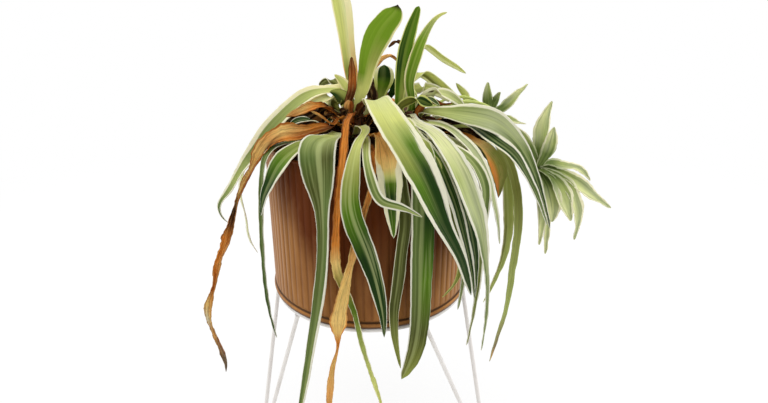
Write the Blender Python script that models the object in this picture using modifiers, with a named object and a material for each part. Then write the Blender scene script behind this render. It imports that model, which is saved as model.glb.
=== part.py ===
"""A wilting striped spider plant in a ribbed metal pot on a wire stand with hairpin legs.

Metres, +Z up. The floor is z = 0 and the front is -Y. Everything is shaped round the
pot's upright axis and then moved by POT_AXIS, which centres the plant's footprint on
the origin. Leaf routes are in millimetres from the foot of the pot's axis.
"""

import math
from collections import namedtuple

import bmesh
import bpy
import numpy as np

MM = 0.001
GAP = 0.3 * MM

# The pot and its stand.
POT_AXIS = (-32 * MM, 0.0)
POT_RADIUS = 75 * MM
SEAM_HEIGHT = 128 * MM
RIM_HEIGHT = 240 * MM
RIBS = 80
RIB_DEPTH = 0.9 * MM
POT_WALL = 1.0 * MM
FLOOR_RISE = 0.6 * MM
LIP_RADIUS = 76.4 * MM
LIP_DROP = 4.8 * MM
SOIL_HEIGHT = 227 * MM
WIRE = 3.2 * MM
RING_RADIUS = 73.5 * MM
FOOT_BEND = 5 * MM
LEG_TOP_GAP = 0.85 * MM
LEG_FLAT = 60

# Corners of the turned profiles, in millimetres out and up. The rim's are from the wall's
# outer face and its top, the lip's from the lip's reach and the seam, the soil's from the
# axis and its top, and the crown's out is a share of its radius.
RIM_BEAD = ((0.0, -2.4), (1.2, -1.6), (1.2, -0.4), (0.2, 0.0))
RIM_INSIDE = -0.8
LIP_ROLL = (
    (-1.8, 0.0), (-0.5, -0.8), (0.0, -2.0), (-0.2, -3.4), (-1.2, -4.8), (-3.4, -4.8), (-4.4, -3.6))
SOIL_HEAP = ((0.0, 0.0), (40.0, 0.0), (60.0, -2.0))
SOIL_EDGE_FALL = 5.0
CROWN_SHOULDER = ((0.0, 0.0), (0.55, -0.5), (0.9, -2.0), (1.0, -3.5))

# Each leg's azimuth, the angle from there to either of its rods on the ring, and how far
# out its foot stands: they are bent by hand and are not quite alike.
LEGS = {"left": (-155.5, 21.0, 95 * MM), "right": (-33.0, 25.0, 105 * MM), "back": (86.0, 23.0, 101 * MM)}

# The plant.
CROWN_RADIUS = 11.0
CROWN_TOP = 263.0
CROWNS = {"left": (-12.0, 2.0), "right": (24.0, 6.0)}
LEAF_THICKNESS = 0.7
LEAF_SEAT = 0.75
LEAF_BASE = 6.0
COLLAR = 5.0
GUTTER = 14.0
SEGMENT = 22.0
NARROW = 6.5
TIP_WIDTH = 0.8
RUNNER = 2.5
RUNNER_SEAT = 1.2
HEART_RADIUS = 4.5
BLADE_BASE = 4
RUNNER_POINTS = 8

# How many steps each turned solid has, and the angle past which the wall's edges are sharp.
BASE_STEPS = 44
SOIL_STEPS = 36
CROWN_STEPS = 20
CREASE = 50

FINISHES = {
    "pot": ((0.28, 0.13, 0.05), 0.35, 1.0),
    "soil": ((0.05, 0.03, 0.02), 0.95, 0.0),
    "white_wire": ((0.8, 0.79, 0.77), 0.4, 0.0),
    "crown": ((0.55, 0.6, 0.3), 0.6, 0.0),
    "green": ((0.2, 0.34, 0.08), 0.45, 0.0),
    "olive": ((0.2, 0.22, 0.04), 0.5, 0.0),
    "pale": ((0.6, 0.68, 0.36), 0.5, 0.0),
    "dead": ((0.62, 0.3, 0.08), 0.8, 0.0),
    "brown": ((0.16, 0.06, 0.02), 0.85, 0.0),
}

Leaf = namedtuple("Leaf", "name finish crown azimuth height rise facing knots")

# Each leaf leaves the side of its crown at an azimuth and a height, rising at an angle.
# facing is the azimuth that its upper face turns to once it hangs. The knots are
# x, y, z, roll about the leaf's own length in degrees, and width.
LEAVES = [
    # Hanging over the front of the pot, from left to right.
    Leaf("leaf_front_left_broad", "green", "left", 238, 241, 35, -105, (
        (-22, -28, 250, 0, 14), (-27, -52, 254, 0, 21), (-29, -70, 252, 0, 24),
        (-28, -79, 240, 0, 22), (-27, -82, 222, 0, 13), (-27, -82, 197, 0, 8),
        (-31, -81, 157, 0, 8), (-38, -80, 118, 0, 6.5), (-49, -78, 61, 0, 4),
        (-56, -76, 32, 0, 1))),
    Leaf("dead_strap_front", "dead", "left", 268, 251, 45, -95, (
        (-10, -26, 262, 0, 5), (-12, -48, 263, 0, 5), (-13, -68, 257, 0, 4.5),
        (-14, -81, 244, 0, 4.5), (-16, -84, 227, 0, 4.5), (-19, -84, 197, 0, 5),
        (-19, -83, 174, 0, 6), (-11, -80.5, 148, 0, 4), (-4, -81, 115, 0, 3),
        (5, -84, 82, 0, 2.5), (13, -85, 50, 0, 1))),
    Leaf("leaf_front_centre", "green", "left", 286, 243, 40, -90, (
        (-5, -30, 254, 0, 6), (-1, -50, 256, 0, 5), (-5, -70, 253, 0, 5),
        (-8, -86, 240, 0, 9), (-9, -91, 222, 0, 11), (-3, -92, 200, 0, 12),
        (3.5, -92, 180, 0, 10), (8, -92, 160, 0, 7.5), (10.5, -92, 142, 0, 4),
        (11, -91, 128, 0, 1))),
    Leaf("dead_leaf_front_knotted", "dead", "left", 304, 231.5, 30, -95, (
        (0, -32, 242, 0, 5), (4, -58, 246, 0, 4), (5, -74, 247.5, 0, 4),
        (4, -83, 236, 0, 4), (-1, -84, 215, 0, 4), (-7, -87, 192, 0, 5.5),
        (-11, -87, 175, 0, 6), (-16, -86, 154, 0, 9), (-19, -87, 138, 0, 10.5),
        (-20, -86, 128, 0, 7), (-20, -86, 120, 0, 3), (-23, -85, 104, 0, 3),
        (-26, -84, 86, 0, 5), (-28, -84, 66, 0, 4), (-30, -84, 42, 0, 1))),
    Leaf("leaf_front_twisted", "green", "left", 296, 236, 35, -80, (
        (-1, -40, 248, 0, 5), (0, -66, 251, 0, 5), (1, -85, 246, 0, 5),
        (4, -95, 238, 10, 6), (10, -99, 228, 20, 6), (20, -100, 225, 20, 4.5),
        (33, -99, 218, 20, 1))),
    Leaf("half_dead_leaf_front", "dead", "left", 308, 238, 35, -85, (
        (4, -30, 248, 0, 7), (8, -56, 254, 0, 9), (11, -72, 252.5, 0, 13),
        (14, -84, 239, 0, 15), (15, -87, 226, 0, 12), (16, -86, 212, 0, 8),
        (17, -84, 197, 0, 1))),
    Leaf("leaf_front_right_long", "green", "left", 318, 256, 45, -60, (
        (4, -20, 269, 0, 15), (8.5, -42, 270, 0, 20), (15.5, -64, 263, 0, 23),
        (26.5, -85, 250, 0, 24), (36.5, -94, 233, 0, 20), (46.5, -94, 210, 0, 12),
        (57, -87, 188, 0, 8), (64.5, -78, 166, 0, 6), (70, -70, 147, 0, 1))),
    Leaf("leaf_front_olive", "olive", "right", 245, 238, 35, -80, (
        (17, -30, 245, 0, 8), (18.5, -56, 245.5, 0, 9), (19.5, -74, 247, 0, 8),
        (21, -78.5, 232, 0, 8), (24, -79, 210, 0, 8), (22, -79, 186, 0, 8),
        (20, -79, 164, 0, 8), (17.5, -79, 142, 0, 7), (18.5, -79, 118, 0, 4.5),
        (22.5, -80, 94, 0, 1))),
    Leaf("leaf_front_right_broad", "green", "right", 272, 236, 35, -70, (
        (28, -32, 247, 0, 9), (30, -56, 251, 0, 13), (33, -71, 248, 0, 16),
        (34, -77.5, 230, 0, 16), (34.5, -79, 209, 0, 16), (34.5, -79, 177, 0, 16),
        (34.5, -79, 147, 0, 15), (33.5, -79, 122, 0, 14), (30, -81, 104, 0, 12),
        (23, -84, 88, 0, 4))),
    # Hanging over the right of the pot.
    Leaf("yellowing_leaf_right_curled", "pale", "right", 272, 230.5, 25, -55, (
        (29, -26, 238, 0, 5), (36, -42, 242, 0, 5), (43, -56, 243.5, 0, 5),
        (48, -66, 238, 0, 5), (52, -69, 222, 0, 5), (58, -68, 194, 0, 5),
        (62, -66, 168, 0, 5), (59, -66, 155, 0, 4), (51, -66, 143, 0, 1))),
    Leaf("leaf_right_narrow", "green", "right", 255, 247, 45, -55, (
        (25, -24, 261, 0, 6), (31, -42, 261, 0, 7), (40, -60, 257, 0, 7),
        (48.5, -74, 238, 0, 7), (56, -80, 214, 0, 7), (64, -77, 190, 0, 6),
        (70, -71, 164, 0, 4), (73, -66, 142, 0, 1))),
    Leaf("leaf_right_dark", "green", "right", 276, 245, 40, -50, (
        (29, -20, 254, 0, 6), (37, -36, 254, 0, 7), (47, -52, 247, 0, 7),
        (57, -64, 232, 0, 7), (66, -68, 212, 0, 7), (72, -66, 188, 0, 6),
        (73, -63.5, 162, 0, 4), (73, -62, 140, 0, 1))),
    Leaf("leaf_right_thin", "green", "right", 287, 240, 30, -55, (
        (34, -20, 245, 0, 5), (45, -39, 246.5, 0, 5), (52.5, -50.5, 245, 0, 5),
        (61, -57, 234.5, 0, 5), (63, -62, 210, 0, 5), (65, -62, 182, 0, 5),
        (65, -61, 153, 0, 4), (63, -60, 129, 0, 1))),
    Leaf("leaf_right_broad", "pale", "right", 290, 253, 45, -55, (
        (33, -16, 260, 0, 12), (41, -30, 259, 0, 15), (51, -46, 253, 0, 16),
        (62, -60, 239, 0, 15), (71, -68, 222, 0, 13), (77, -69, 202, 0, 9),
        (79, -66, 172, 0, 5), (82, -60, 132, 0, 3), (82, -58, 90, 0, 1))),
    Leaf("leaf_right_slender", "green", "right", 305, 248, 40, -45, (
        (38, -14, 256, 0, 8), (49, -28, 254, 0, 9), (61, -40, 249, 0, 9),
        (72.5, -47.5, 238, 0, 9), (81, -54, 218, 0, 7), (87, -55, 198, 0, 4),
        (89, -52, 174, 0, 1))),
    Leaf("leaf_right_low", "green", "right", 300, 235, 25, -50, (
        (38, -20, 240, 0, 6), (53, -40, 243, 0, 6), (67, -55, 237.5, 0, 6),
        (75, -59, 224, 0, 6), (76, -59, 202, 0, 6), (76, -58, 175, 0, 5),
        (76, -57, 150, 0, 4), (75, -56, 126, 0, 2.5), (72, -54, 94, 0, 1))),
    Leaf("leaf_right_arching_upper", "green", "right", 335, 252, 35, -50, (
        (43, -6, 257, 25, 12), (60, -11, 259, 30, 14), (77, -16, 255, 30, 15),
        (91, -19, 247, 25, 14), (104, -21, 236, 20, 13), (116, -23, 221, 10, 9),
        (124, -24, 205, 0, 5), (130, -26, 189, 0, 1))),
    Leaf("leaf_right_arching_under", "green", "right", 322, 244, 30, -45, (
        (44, -14, 251, 15, 7), (58, -24, 252, 20, 8), (73, -31, 248, 20, 9),
        (88, -35, 239, 20, 9), (101, -38, 226, 10, 8), (111, -40, 211, 0, 6),
        (119, -42, 196, 0, 4), (125, -43, 184, 0, 1))),
    Leaf("yellowed_leaf_right", "dead", "right", 328, 232, 25, -50, (
        (46, -9, 239, 0, 8), (64, -16, 245, 0, 12), (80, -23, 238, 0, 14),
        (88, -26, 224, 0, 11), (92, -28, 206, 0, 7), (94, -29, 187, 0, 1))),
    Leaf("olive_leaf_right_hanging", "olive", "right", 358, 244, 30, -60, (
        (54, 4, 252, 0, 9), (78, 4, 250, 0, 10), (96, 4, 234, 0, 11),
        (104, 5, 207, 0, 11), (108, 6, 177, 0, 11), (109, 6, 150, 0, 9),
        (104, 5, 122, 0, 6), (94, 4, 94, 0, 1))),
    Leaf("olive_leaf_right_long", "olive", "right", 346, 239, 30, -60, (
        (56, -4, 246, 0, 7), (80, -8, 246, 0, 7), (98, -10, 228, 0, 7),
        (108, -12, 201, 0, 7), (112, -12, 169, 0, 7), (111, -12, 134, 0, 6),
        (109, -12, 97, 0, 4), (104, -12, 68, 0, 3), (100, -12, 46, 0, 1))),
    Leaf("short_leaf_right_dark", "green", "right", 336, 258, 60, -70, (
        (38, 1, 265, 0, 5), (43, -3, 267, 0, 5), (50, -7, 263, 0, 1))),
    Leaf("dead_tipped_leaf_right", "dead", "right", 4, 257, 60, -80, (
        (40, 8, 268, 0, 5), (47, 9, 269, 0, 5), (56, 8, 264, 0, 4),
        (61, 7, 258, 0, 1))),
    # Falling over the left of the pot.
    Leaf("leaf_left_long", "green", "left", 168, 256, 40, -130, (
        (-36, 1, 271, -22, 9), (-50, -6, 268, -24, 10.5), (-64, -13, 258, -26, 11),
        (-75, -19, 246, -26, 10.5), (-85, -24, 231, -22, 8.5), (-93.5, -26, 217, -15, 7.5),
        (-101.5, -28, 203, 0, 6), (-107, -28, 193, 0, 4), (-105.5, -28, 185, 0, 3),
        (-102, -28, 180, 0, 1))),
    Leaf("dead_leaf_left_short", "dead", "left", 190, 248, 35, -110, (
        (-33, -4, 257, -25, 7), (-44, -12, 260, -30, 7), (-54, -19, 257, -30, 7),
        (-64, -24, 250, -20, 5), (-72, -27, 240, -10, 1))),
    Leaf("short_leaf_left_dark", "green", "left", 214, 250, 40, -110, (
        (-27, -12, 257, -20, 4), (-37, -20, 259, -20, 4), (-45, -26, 259, -20, 4),
        (-51, -30, 257, -10, 1))),
    Leaf("dead_strip_left", "dead", "left", 236, 252, 45, -110, (
        (-25, -19, 260, -20, 4), (-33, -22, 263, -20, 4), (-40, -20, 265, -20, 4),
        (-46, -16, 263, -10, 1))),
    Leaf("dead_leaf_left_long", "dead", "left", 210, 242, 35, -110, (
        (-32, -16, 252, -20, 7), (-45, -28, 253, -25, 8), (-58, -36, 251, -30, 10),
        (-69, -41, 244, -20, 7), (-77, -44, 230, 0, 6), (-86, -46, 212, 0, 3.5),
        (-92, -47, 195, 0, 5), (-98.5, -48, 176, 0, 8), (-106, -48, 159, 0, 6.5),
        (-112, -48, 138, 0, 4), (-118, -48, 120, 0, 6), (-116, -48, 101, 0, 3.5),
        (-111, -48, 83, 0, 6), (-110, -48, 74, 0, 3), (-111, -48, 65, 0, 1))),
    Leaf("leaf_left_curled", "green", "left", 224, 232, 30, -125, (
        (-32, -30, 243, 0, 10), (-46, -52, 247, 0, 12), (-58, -60, 237, 0, 14),
        (-64, -60, 222, 0, 9), (-69, -57, 208, 0, 5), (-70, -55, 196, 0, 1))),
    Leaf("leaf_left_thin", "green", "left", 205, 237, 25, -130, (
        (-40, -24, 243, 0, 5), (-54, -40, 245, 0, 5), (-64, -49.5, 241.5, 0, 5),
        (-69, -52, 224, 0, 5), (-72, -52, 192, 0, 4.5), (-73, -52, 154, 0, 4.5),
        (-72, -52, 124, 0, 3), (-69, -50, 98, 0, 1))),
    Leaf("leaf_left_pale_behind", "pale", "left", 152, 244, 40, -150, (
        (-36, 16, 256, 0, 7), (-54, 20, 257, 0, 8), (-75, 15, 246, 0, 8),
        (-90, 5, 222, 0, 8), (-98, 0, 197, 0, 7), (-96, 0, 172, 0, 5),
        (-95, 0, 156, 0, 3.5), (-90, 0, 143, 0, 1))),
    # Standing up from the crowns.
    Leaf("upright_leaf_pale", "pale", "left", 140, 259, 75, -90, (
        (-16, 9, 282, 0, 6), (-14.5, 9, 304, 0, 8), (-19, 10, 327, 0, 10),
        (-23, 11, 350, 0, 8), (-28, 11, 374, 0, 1))),
    Leaf("upright_bract_brown", "brown", "left", 258, 259, 80, -90, (
        (-12, -12.5, 273, 0, 6), (-11, -12.5, 282, 0, 5), (-10.5, -11.5, 295, 0, 1))),
    Leaf("upright_leaf_broad", "green", "left", 292, 259, 75, -90, (
        (-4, -9, 275, 0, 9), (-1, -8, 288, 0, 12), (3, -7, 302, 0, 16),
        (8, -7, 313, 0, 18), (14.5, -7, 322, 0, 16), (19, -7, 328, 0, 11),
        (20, -7, 333, 0, 1))),
    Leaf("upright_leaf_folded", "green", "right", 258, 258, 75, -80, (
        (22.5, -6, 272, 0, 6), (24, -6, 290, 0, 8), (27.5, -5, 308, 0, 8),
        (31, -5, 320, 0, 6), (34, -5, 329, 0, 3))),
    Leaf("upright_leaf_curling", "green", "right", 300, 259, 75, -85, (
        (31, -6, 277, 0, 6), (33.5, -6, 293, 0, 7), (37, -5, 307, 0, 6),
        (42, -4, 317, 0, 4), (48, -3, 323, 0, 2), (53, -3, 325, 0, 1))),
    # Arching away behind.
    Leaf("short_leaf_dark", "green", "right", 150, 259, 75, -90, (
        (9, 14, 273, 0, 9), (9, 18, 283, 0, 12), (10, 24, 289, 0, 11),
        (12, 33, 285, 0, 1))),
    Leaf("short_leaf_behind_left", "olive", "left", 100, 252, 60, -110, (
        (-18, 17, 266, 0, 6), (-24, 21, 274, 0, 6), (-31, 25, 275, 0, 6),
        (-38, 29, 270, 0, 3))),
    Leaf("dead_leaf_behind", "brown", "left", 62, 259, 70, -90, (
        (0, 24, 278, 0, 4), (8, 33, 289, 0, 4), (15, 36, 292, 0, 4),
        (21, 40, 287, 0, 1))),
    Leaf("leaf_behind_right_thin", "green", "right", 78, 259, 70, -80, (
        (30.3, 28, 285, 0, 5), (38.9, 40, 298.8, 0, 5), (54.6, 50, 289, 0, 5),
        (67.5, 56, 280.8, 0, 4), (77.1, 60, 274.2, 0, 1))),
    Leaf("leaf_behind_right_arching", "green", "right", 34, 259, 65, -80, (
        (29.3, 18, 273.5, 0, 7), (37, 25, 280.4, 0, 8), (46.5, 30, 275.8, 0, 8),
        (57.1, 34, 266.7, 0, 8), (68.9, 38, 255, 0, 6), (78.1, 41, 239.8, 0, 1))),
    Leaf("leaf_behind_right_pale", "pale", "right", 50, 251, 60, -80, (
        (27.4, 20, 263.4, 0, 6), (34.1, 23, 268.8, 0, 8), (44, 25, 269.2, 0, 8),
        (53.3, 26, 265.2, 0, 7), (60.6, 27, 258.2, 0, 1))),
    Leaf("leaf_behind_right_tip", "olive", "right", 82, 248, 55, -80, (
        (42.3, 38, 255, 0, 5), (58.5, 42, 251.7, 0, 5), (73.3, 45, 250.2, 0, 6),
        (77, 46, 256.5, 0, 6), (72.7, 46, 263.6, 0, 5), (67.6, 46, 269.1, 0, 1))),
    Leaf("leaf_back_left", "green", "left", 122, 244, 35, 120, (
        (-28, 32, 253, 0, 8), (-38, 52, 254, 0, 10), (-46, 66, 248, 0, 11),
        (-52, 76, 232, 0, 11), (-54, 80, 197, 0, 10), (-52, 80, 152, 0, 7),
        (-48, 78, 107, 0, 1))),
    Leaf("leaf_back_centre", "green", "left", 90, 240, 35, 95, (
        (-12, 34, 249, 0, 8), (-12, 56, 251, 0, 10), (-12, 72, 247, 0, 12),
        (-12, 82, 230, 0, 12), (-12, 86, 192, 0, 11), (-10, 84, 147, 0, 8),
        (-8, 80, 92, 0, 1))),
    Leaf("dead_leaf_back", "dead", "right", 112, 240, 35, 85, (
        (20, 38, 250, 0, 6), (16, 58, 252, 0, 6), (14, 72, 248, 0, 7),
        (14, 82, 232, 0, 6), (16, 86, 194, 0, 7), (20, 84, 152, 0, 5),
        (17, 80, 112, 0, 1))),
    Leaf("leaf_back_right", "green", "right", 66, 240, 35, 60, (
        (34, 34, 248, 0, 8), (44, 52, 250, 0, 10), (52, 64, 246, 0, 11),
        (58, 72, 230, 0, 11), (62, 75, 197, 0, 10), (62, 73, 157, 0, 7),
        (58, 70, 122, 0, 1))),
]

# Each runner leaves its crown, arches over and ends at the heart of a plantlet. A blade is
# named by the way it faces; its knots run out from the heart, as x, y, z, roll and width.
Plantlet = namedtuple("Plantlet", "name heart crown azimuth height runner blades")
PLANTLETS = [
    Plantlet("right", (126, 0, 214), "right", 15, 246, (
        (50, 13, 255), (70, 15, 261), (92, 16, 255), (107, 15, 236), (116, 12, 224)), (
        (-70, ((127.9, 3, 227.3, 0, 8), (128.8, 6, 243.3, 0, 10), (132.8, 6, 263.4, 0, 1))),
        (-80, ((131.3, -4, 226.4, 0, 8), (132.1, -7, 237.9, 0, 7), (132.1, -8, 247.8, 0, 1))),
        (-110, ((117.8, -1, 229.3, 0, 6), (111.2, 0, 238.9, 0, 6), (103.9, 0, 247.2, 0, 1))),
        (-60, (
            (140.8, 2, 210.3, 0, 7), (153.8, 0, 203.8, 0, 9), (168.3, -2, 193.2, 0, 8),
            (184.3, -4, 183.3, 0, 1))),
        (-50, (
            (139.8, 8, 213.9, 0, 7), (151.7, 11, 211.2, 0, 8), (162.4, 12, 208.5, 0, 6),
            (171.5, 12, 199.4, 0, 1))),
        (-60, (
            (140, -4, 208.5, 0, 7), (150.7, -8, 197.2, 0, 9), (156.7, -10, 181, 0, 7),
            (157.3, -10, 159.1, 0, 1))),
        (-60, ((136.1, -10, 208.3, 0, 8), (142.3, -14, 196.4, 0, 12), (150.3, -17, 178.3, 0, 1))),
        (-80, ((131.3, -10, 205.2, 0, 7), (134.5, -16, 194.8, 0, 10), (135.9, -18, 178, 0, 1))),
        (-90, ((127.5, -6, 202.1, 0, 5), (130.6, -9, 180.5, 0, 5), (131.1, -9, 154.3, 0, 1))),
        (-70, ((132.6, 2, 202.3, 0, 5), (138.1, 2, 174, 0, 5), (139.9, 1, 141.2, 0, 1))))),
    Plantlet("behind", (95, 40, 247), "right", 40, 242, (
        (46, 28, 252), (62, 41, 258), (80, 45, 257)), (
        (-90, ((92.5, 39, 257, 0, 7), (92, 42, 270.5, 0, 1))),
        (-80, ((99, 40, 256.9, 0, 5), (101.2, 38, 263.6, 0, 1))),
        (-70, ((106.1, 45, 249.4, 0, 6), (116.6, 49, 258.2, 0, 6.5), (125.5, 50, 267.6, 0, 1))),
        (-60, ((103.3, 37, 244.9, 0, 5), (112.7, 35, 241.3, 0, 5), (122.9, 34, 239.2, 0, 1))))),
]


def smoothstep(t):
    """Rises from 0 to 1 as t does, level at both ends."""
    t = np.clip(t, 0.0, 1.0)
    return t * t * (3.0 - 2.0 * t)


def natural_spline(knots, samples=400):
    """The natural cubic spline through the knots, parameterised by the chord between them."""
    chord = np.linalg.norm(np.diff(knots[:, :3], axis=0), axis=1)
    at = np.concatenate([[0.0], np.cumsum(chord)])
    count = len(at)
    system = np.eye(count)
    right = np.zeros_like(knots)
    for i in range(1, count - 1):
        system[i, i - 1 : i + 2] = chord[i - 1], 2 * (chord[i - 1] + chord[i]), chord[i]
        right[i] = 6 * (
            (knots[i + 1] - knots[i]) / chord[i] - (knots[i] - knots[i - 1]) / chord[i - 1]
        )
    bend = np.linalg.solve(system, right)
    u = np.linspace(0.0, at[-1], samples)
    i = np.clip(np.searchsorted(at, u, side="right") - 1, 0, count - 2)
    h = chord[i][:, None]
    before = (at[i + 1] - u)[:, None]
    after = (u - at[i])[:, None]
    curved = (bend[i] * before**3 + bend[i + 1] * after**3) / (6 * h)
    return (
        curved
        + (knots[i] / h - bend[i] * h / 6) * before
        + (knots[i + 1] / h - bend[i + 1] * h / 6) * after
    )


def leaf_knots(leaf):
    """The leaf's knots, led by its seat on the crown and the collar that rises from it.

    A plantlet's blade has no crown: its knots are complete.
    """
    if leaf.crown is None:
        return np.array(leaf.knots, float)
    x, y = CROWNS[leaf.crown]
    azimuth, rise = math.radians(leaf.azimuth), math.radians(leaf.rise)
    out = np.array([math.cos(azimuth), math.sin(azimuth)])
    seat = np.array([x, y]) + out * (CROWN_RADIUS + LEAF_SEAT)
    collar = seat + out * COLLAR * math.cos(rise)
    width = min(LEAF_BASE, leaf.knots[0][4])
    return np.array(
        [
            (seat[0], seat[1], leaf.height, 0, width),
            (collar[0], collar[1], leaf.height + COLLAR * math.sin(rise), 0, width),
            *leaf.knots,
        ],
        float,
    )


def leaf_frame(leaf, stations=None):
    """Places along the leaf, its half widths, and its across and upward directions there.

    Across starts square to the crown's radius and turns to the azimuth that the leaf
    faces over its first quarter; the roll then turns it about the leaf's own run.
    """
    path = natural_spline(leaf_knots(leaf))
    run = np.concatenate([[0.0], np.cumsum(np.linalg.norm(np.diff(path[:, :3], axis=0), axis=1))])
    if stations is None:
        stations = max(4, round(run[-1] / SEGMENT)) + 1
    at = np.linspace(0.0, run[-1], stations)
    path = np.column_stack([np.interp(at, run, column) for column in path.T])
    places = path[:, :3]
    along = np.gradient(places, axis=0)
    along /= np.linalg.norm(along, axis=1)[:, None]
    turn = (leaf.facing - leaf.azimuth + 180.0) % 360.0 - 180.0
    share = at / run[-1]
    azimuth = np.radians(leaf.azimuth + turn * smoothstep(share / 0.25))
    across = np.column_stack([-np.sin(azimuth), np.cos(azimuth), np.zeros(stations)])
    across -= along * (across * along).sum(axis=1)[:, None]
    across /= np.linalg.norm(across, axis=1)[:, None]
    upward = np.cross(along, across)
    roll = np.radians(path[:, 3])[:, None]
    across, upward = (
        across * np.cos(roll) + upward * np.sin(roll),
        upward * np.cos(roll) - across * np.sin(roll),
    )
    half_width = np.maximum(path[:, 4], TIP_WIDTH) / 2
    gutter = math.radians(GUTTER) * smoothstep(share / 0.2)
    return places, half_width, across, upward, gutter


def leaf_grid(leaf):
    """Rows of points across the leaf, in metres: its edges stand up from its midrib."""
    places, half_width, across, upward, gutter = leaf_frame(leaf)
    widest = half_width.max() * 2
    columns = np.array([-1.0, 1.0]) if widest < NARROW else np.array([-1.0, 0.0, 1.0])
    reach = half_width[:, None] * columns * np.cos(gutter)[:, None]
    lift = half_width[:, None] * np.abs(columns) * np.sin(gutter)[:, None]
    grid = (
        places[:, None, :]
        + reach[:, :, None] * across[:, None, :]
        + lift[:, :, None] * upward[:, None, :]
    )
    return grid * MM


def material(name):
    """The Principled material of one finish."""
    found = bpy.data.materials.get(name)
    if found:
        return found
    color, roughness, metallic = FINISHES[name]
    made = bpy.data.materials.new(name)
    made.use_nodes = True
    shader = made.node_tree.nodes["Principled BSDF"]
    shader.inputs["Base Color"].default_value = (*color, 1.0)
    shader.inputs["Roughness"].default_value = roughness
    shader.inputs["Metallic"].default_value = metallic
    return made


def add_object(name, mesh, finish, collection):
    """A new object of the mesh, at the pot's axis, in the collection."""
    made = bpy.data.objects.new(name, mesh)
    mesh.materials.append(material(finish))
    made.location = (*POT_AXIS, 0.0)
    collection.objects.link(made)
    return made


def bent_grid(name, grid):
    """A grid mesh whose points are moved onto the given rows of points."""
    rows, columns = grid.shape[:2]
    bm = bmesh.new()
    bmesh.ops.create_grid(bm, x_segments=columns - 1, y_segments=rows - 1, size=1.0)
    bm.verts.ensure_lookup_table()
    for vert, place in zip(bm.verts, grid.reshape(-1, 3)):
        vert.co = place
    mesh = bpy.data.meshes.new(name)
    bm.to_mesh(mesh)
    bm.free()
    mesh.shade_smooth()
    return mesh


def add_leaf(leaf, collection):
    """A leaf: a grid bent along its route, thickened."""
    made = add_object(leaf.name, bent_grid(leaf.name, leaf_grid(leaf)), leaf.finish, collection)
    solidify = made.modifiers.new("thickness", "SOLIDIFY")
    solidify.thickness = LEAF_THICKNESS * MM
    solidify.offset = 0.0
    return made


def turned(name, profile, steps, finish, collection):
    """A solid turned about the pot's axis from a profile that runs down its outer side."""
    mesh = bpy.data.meshes.new(name)
    points = [(radius, 0.0, height) for radius, height in profile]
    mesh.from_pydata(points, [(i, i + 1) for i in range(len(points) - 1)], [])
    made = add_object(name, mesh, finish, collection)
    screw = made.modifiers.new("turn", "SCREW")
    screw.steps = steps
    screw.render_steps = steps
    screw.use_merge_vertices = True
    screw.merge_threshold = 0.01 * MM
    screw.use_smooth_shade = True
    return made


def add_pot_wall(collection):
    """The ribbed wall: rings of points whose radius waves once for each rib."""
    angle = np.linspace(0.0, 2 * math.pi, 2 * RIBS, endpoint=False)
    wave = RIB_DEPTH / 2 * np.cos(RIBS * angle)
    foot = SEAM_HEIGHT + FLOOR_RISE + GAP
    bead = [(POT_RADIUS + out * MM, RIM_HEIGHT + up * MM) for out, up in RIM_BEAD]
    rings = [
        (POT_RADIUS - POT_WALL, foot, 1.0),
        (POT_RADIUS, foot, 1.0),
        (*bead[0], 1.0),
        *[(*corner, 0.0) for corner in bead[1:]],
        (POT_RADIUS - POT_WALL, RIM_HEIGHT + RIM_INSIDE * MM, 1.0),
    ]
    bm = bmesh.new()
    loops = []
    for radius, height, ribbed in rings:
        reach = radius + wave * ribbed
        points = np.column_stack([reach * np.cos(angle), reach * np.sin(angle)])
        loops.append([bm.verts.new((x, y, height)) for x, y in points])
    for lower, upper in zip(loops, loops[1:] + loops[:1]):
        for i in range(len(angle)):
            j = (i + 1) % len(angle)
            bm.faces.new((lower[i], lower[j], upper[j], upper[i]))
    bmesh.ops.recalc_face_normals(bm, faces=bm.faces)
    mesh = bpy.data.meshes.new("pot_wall")
    bm.to_mesh(mesh)
    bm.free()
    mesh.shade_smooth()
    mesh.set_sharp_from_angle(angle=math.radians(CREASE))
    return add_object("pot_wall", mesh, "pot", collection)


def add_pot_base(collection):
    """The pot's floor, a plate whose edge is folded into the rolled lip under the seam."""
    top = SEAM_HEIGHT + FLOOR_RISE
    under = top - POT_WALL
    roll = [(LIP_RADIUS + out * MM, SEAM_HEIGHT + up * MM) for out, up in LIP_ROLL]
    profile = [
        (0.0, top),
        (roll[0][0], top),
        *roll,
        (roll[-1][0], under),
        (0.0, under),
    ]
    return turned("pot_base", profile, BASE_STEPS, "pot", collection)


def add_soil(collection):
    """The root ball, with its top heaped a little towards the middle."""
    radius = POT_RADIUS - POT_WALL - RIB_DEPTH / 2 - 2 * GAP
    foot = SEAM_HEIGHT + FLOOR_RISE + GAP
    profile = [
        *[(out * MM, SOIL_HEIGHT + up * MM) for out, up in SOIL_HEAP],
        (radius, SOIL_HEIGHT - SOIL_EDGE_FALL * MM),
        (radius, foot),
        (0.0, foot),
    ]
    return turned("soil", profile, SOIL_STEPS, "soil", collection)


def add_crown(side, collection):
    """One crown, the short pale stem that the leaves of that side grow from."""
    radius, foot, top = CROWN_RADIUS * MM, SOIL_HEIGHT + GAP, CROWN_TOP * MM
    profile = [
        *[(share * radius, top + up * MM) for share, up in CROWN_SHOULDER],
        (radius, foot),
        (0.0, foot),
    ]
    made = turned(f"crown_{side}", profile, CROWN_STEPS, "crown", collection)
    made.location.x += CROWNS[side][0] * MM
    made.location.y += CROWNS[side][1] * MM
    return made


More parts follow.
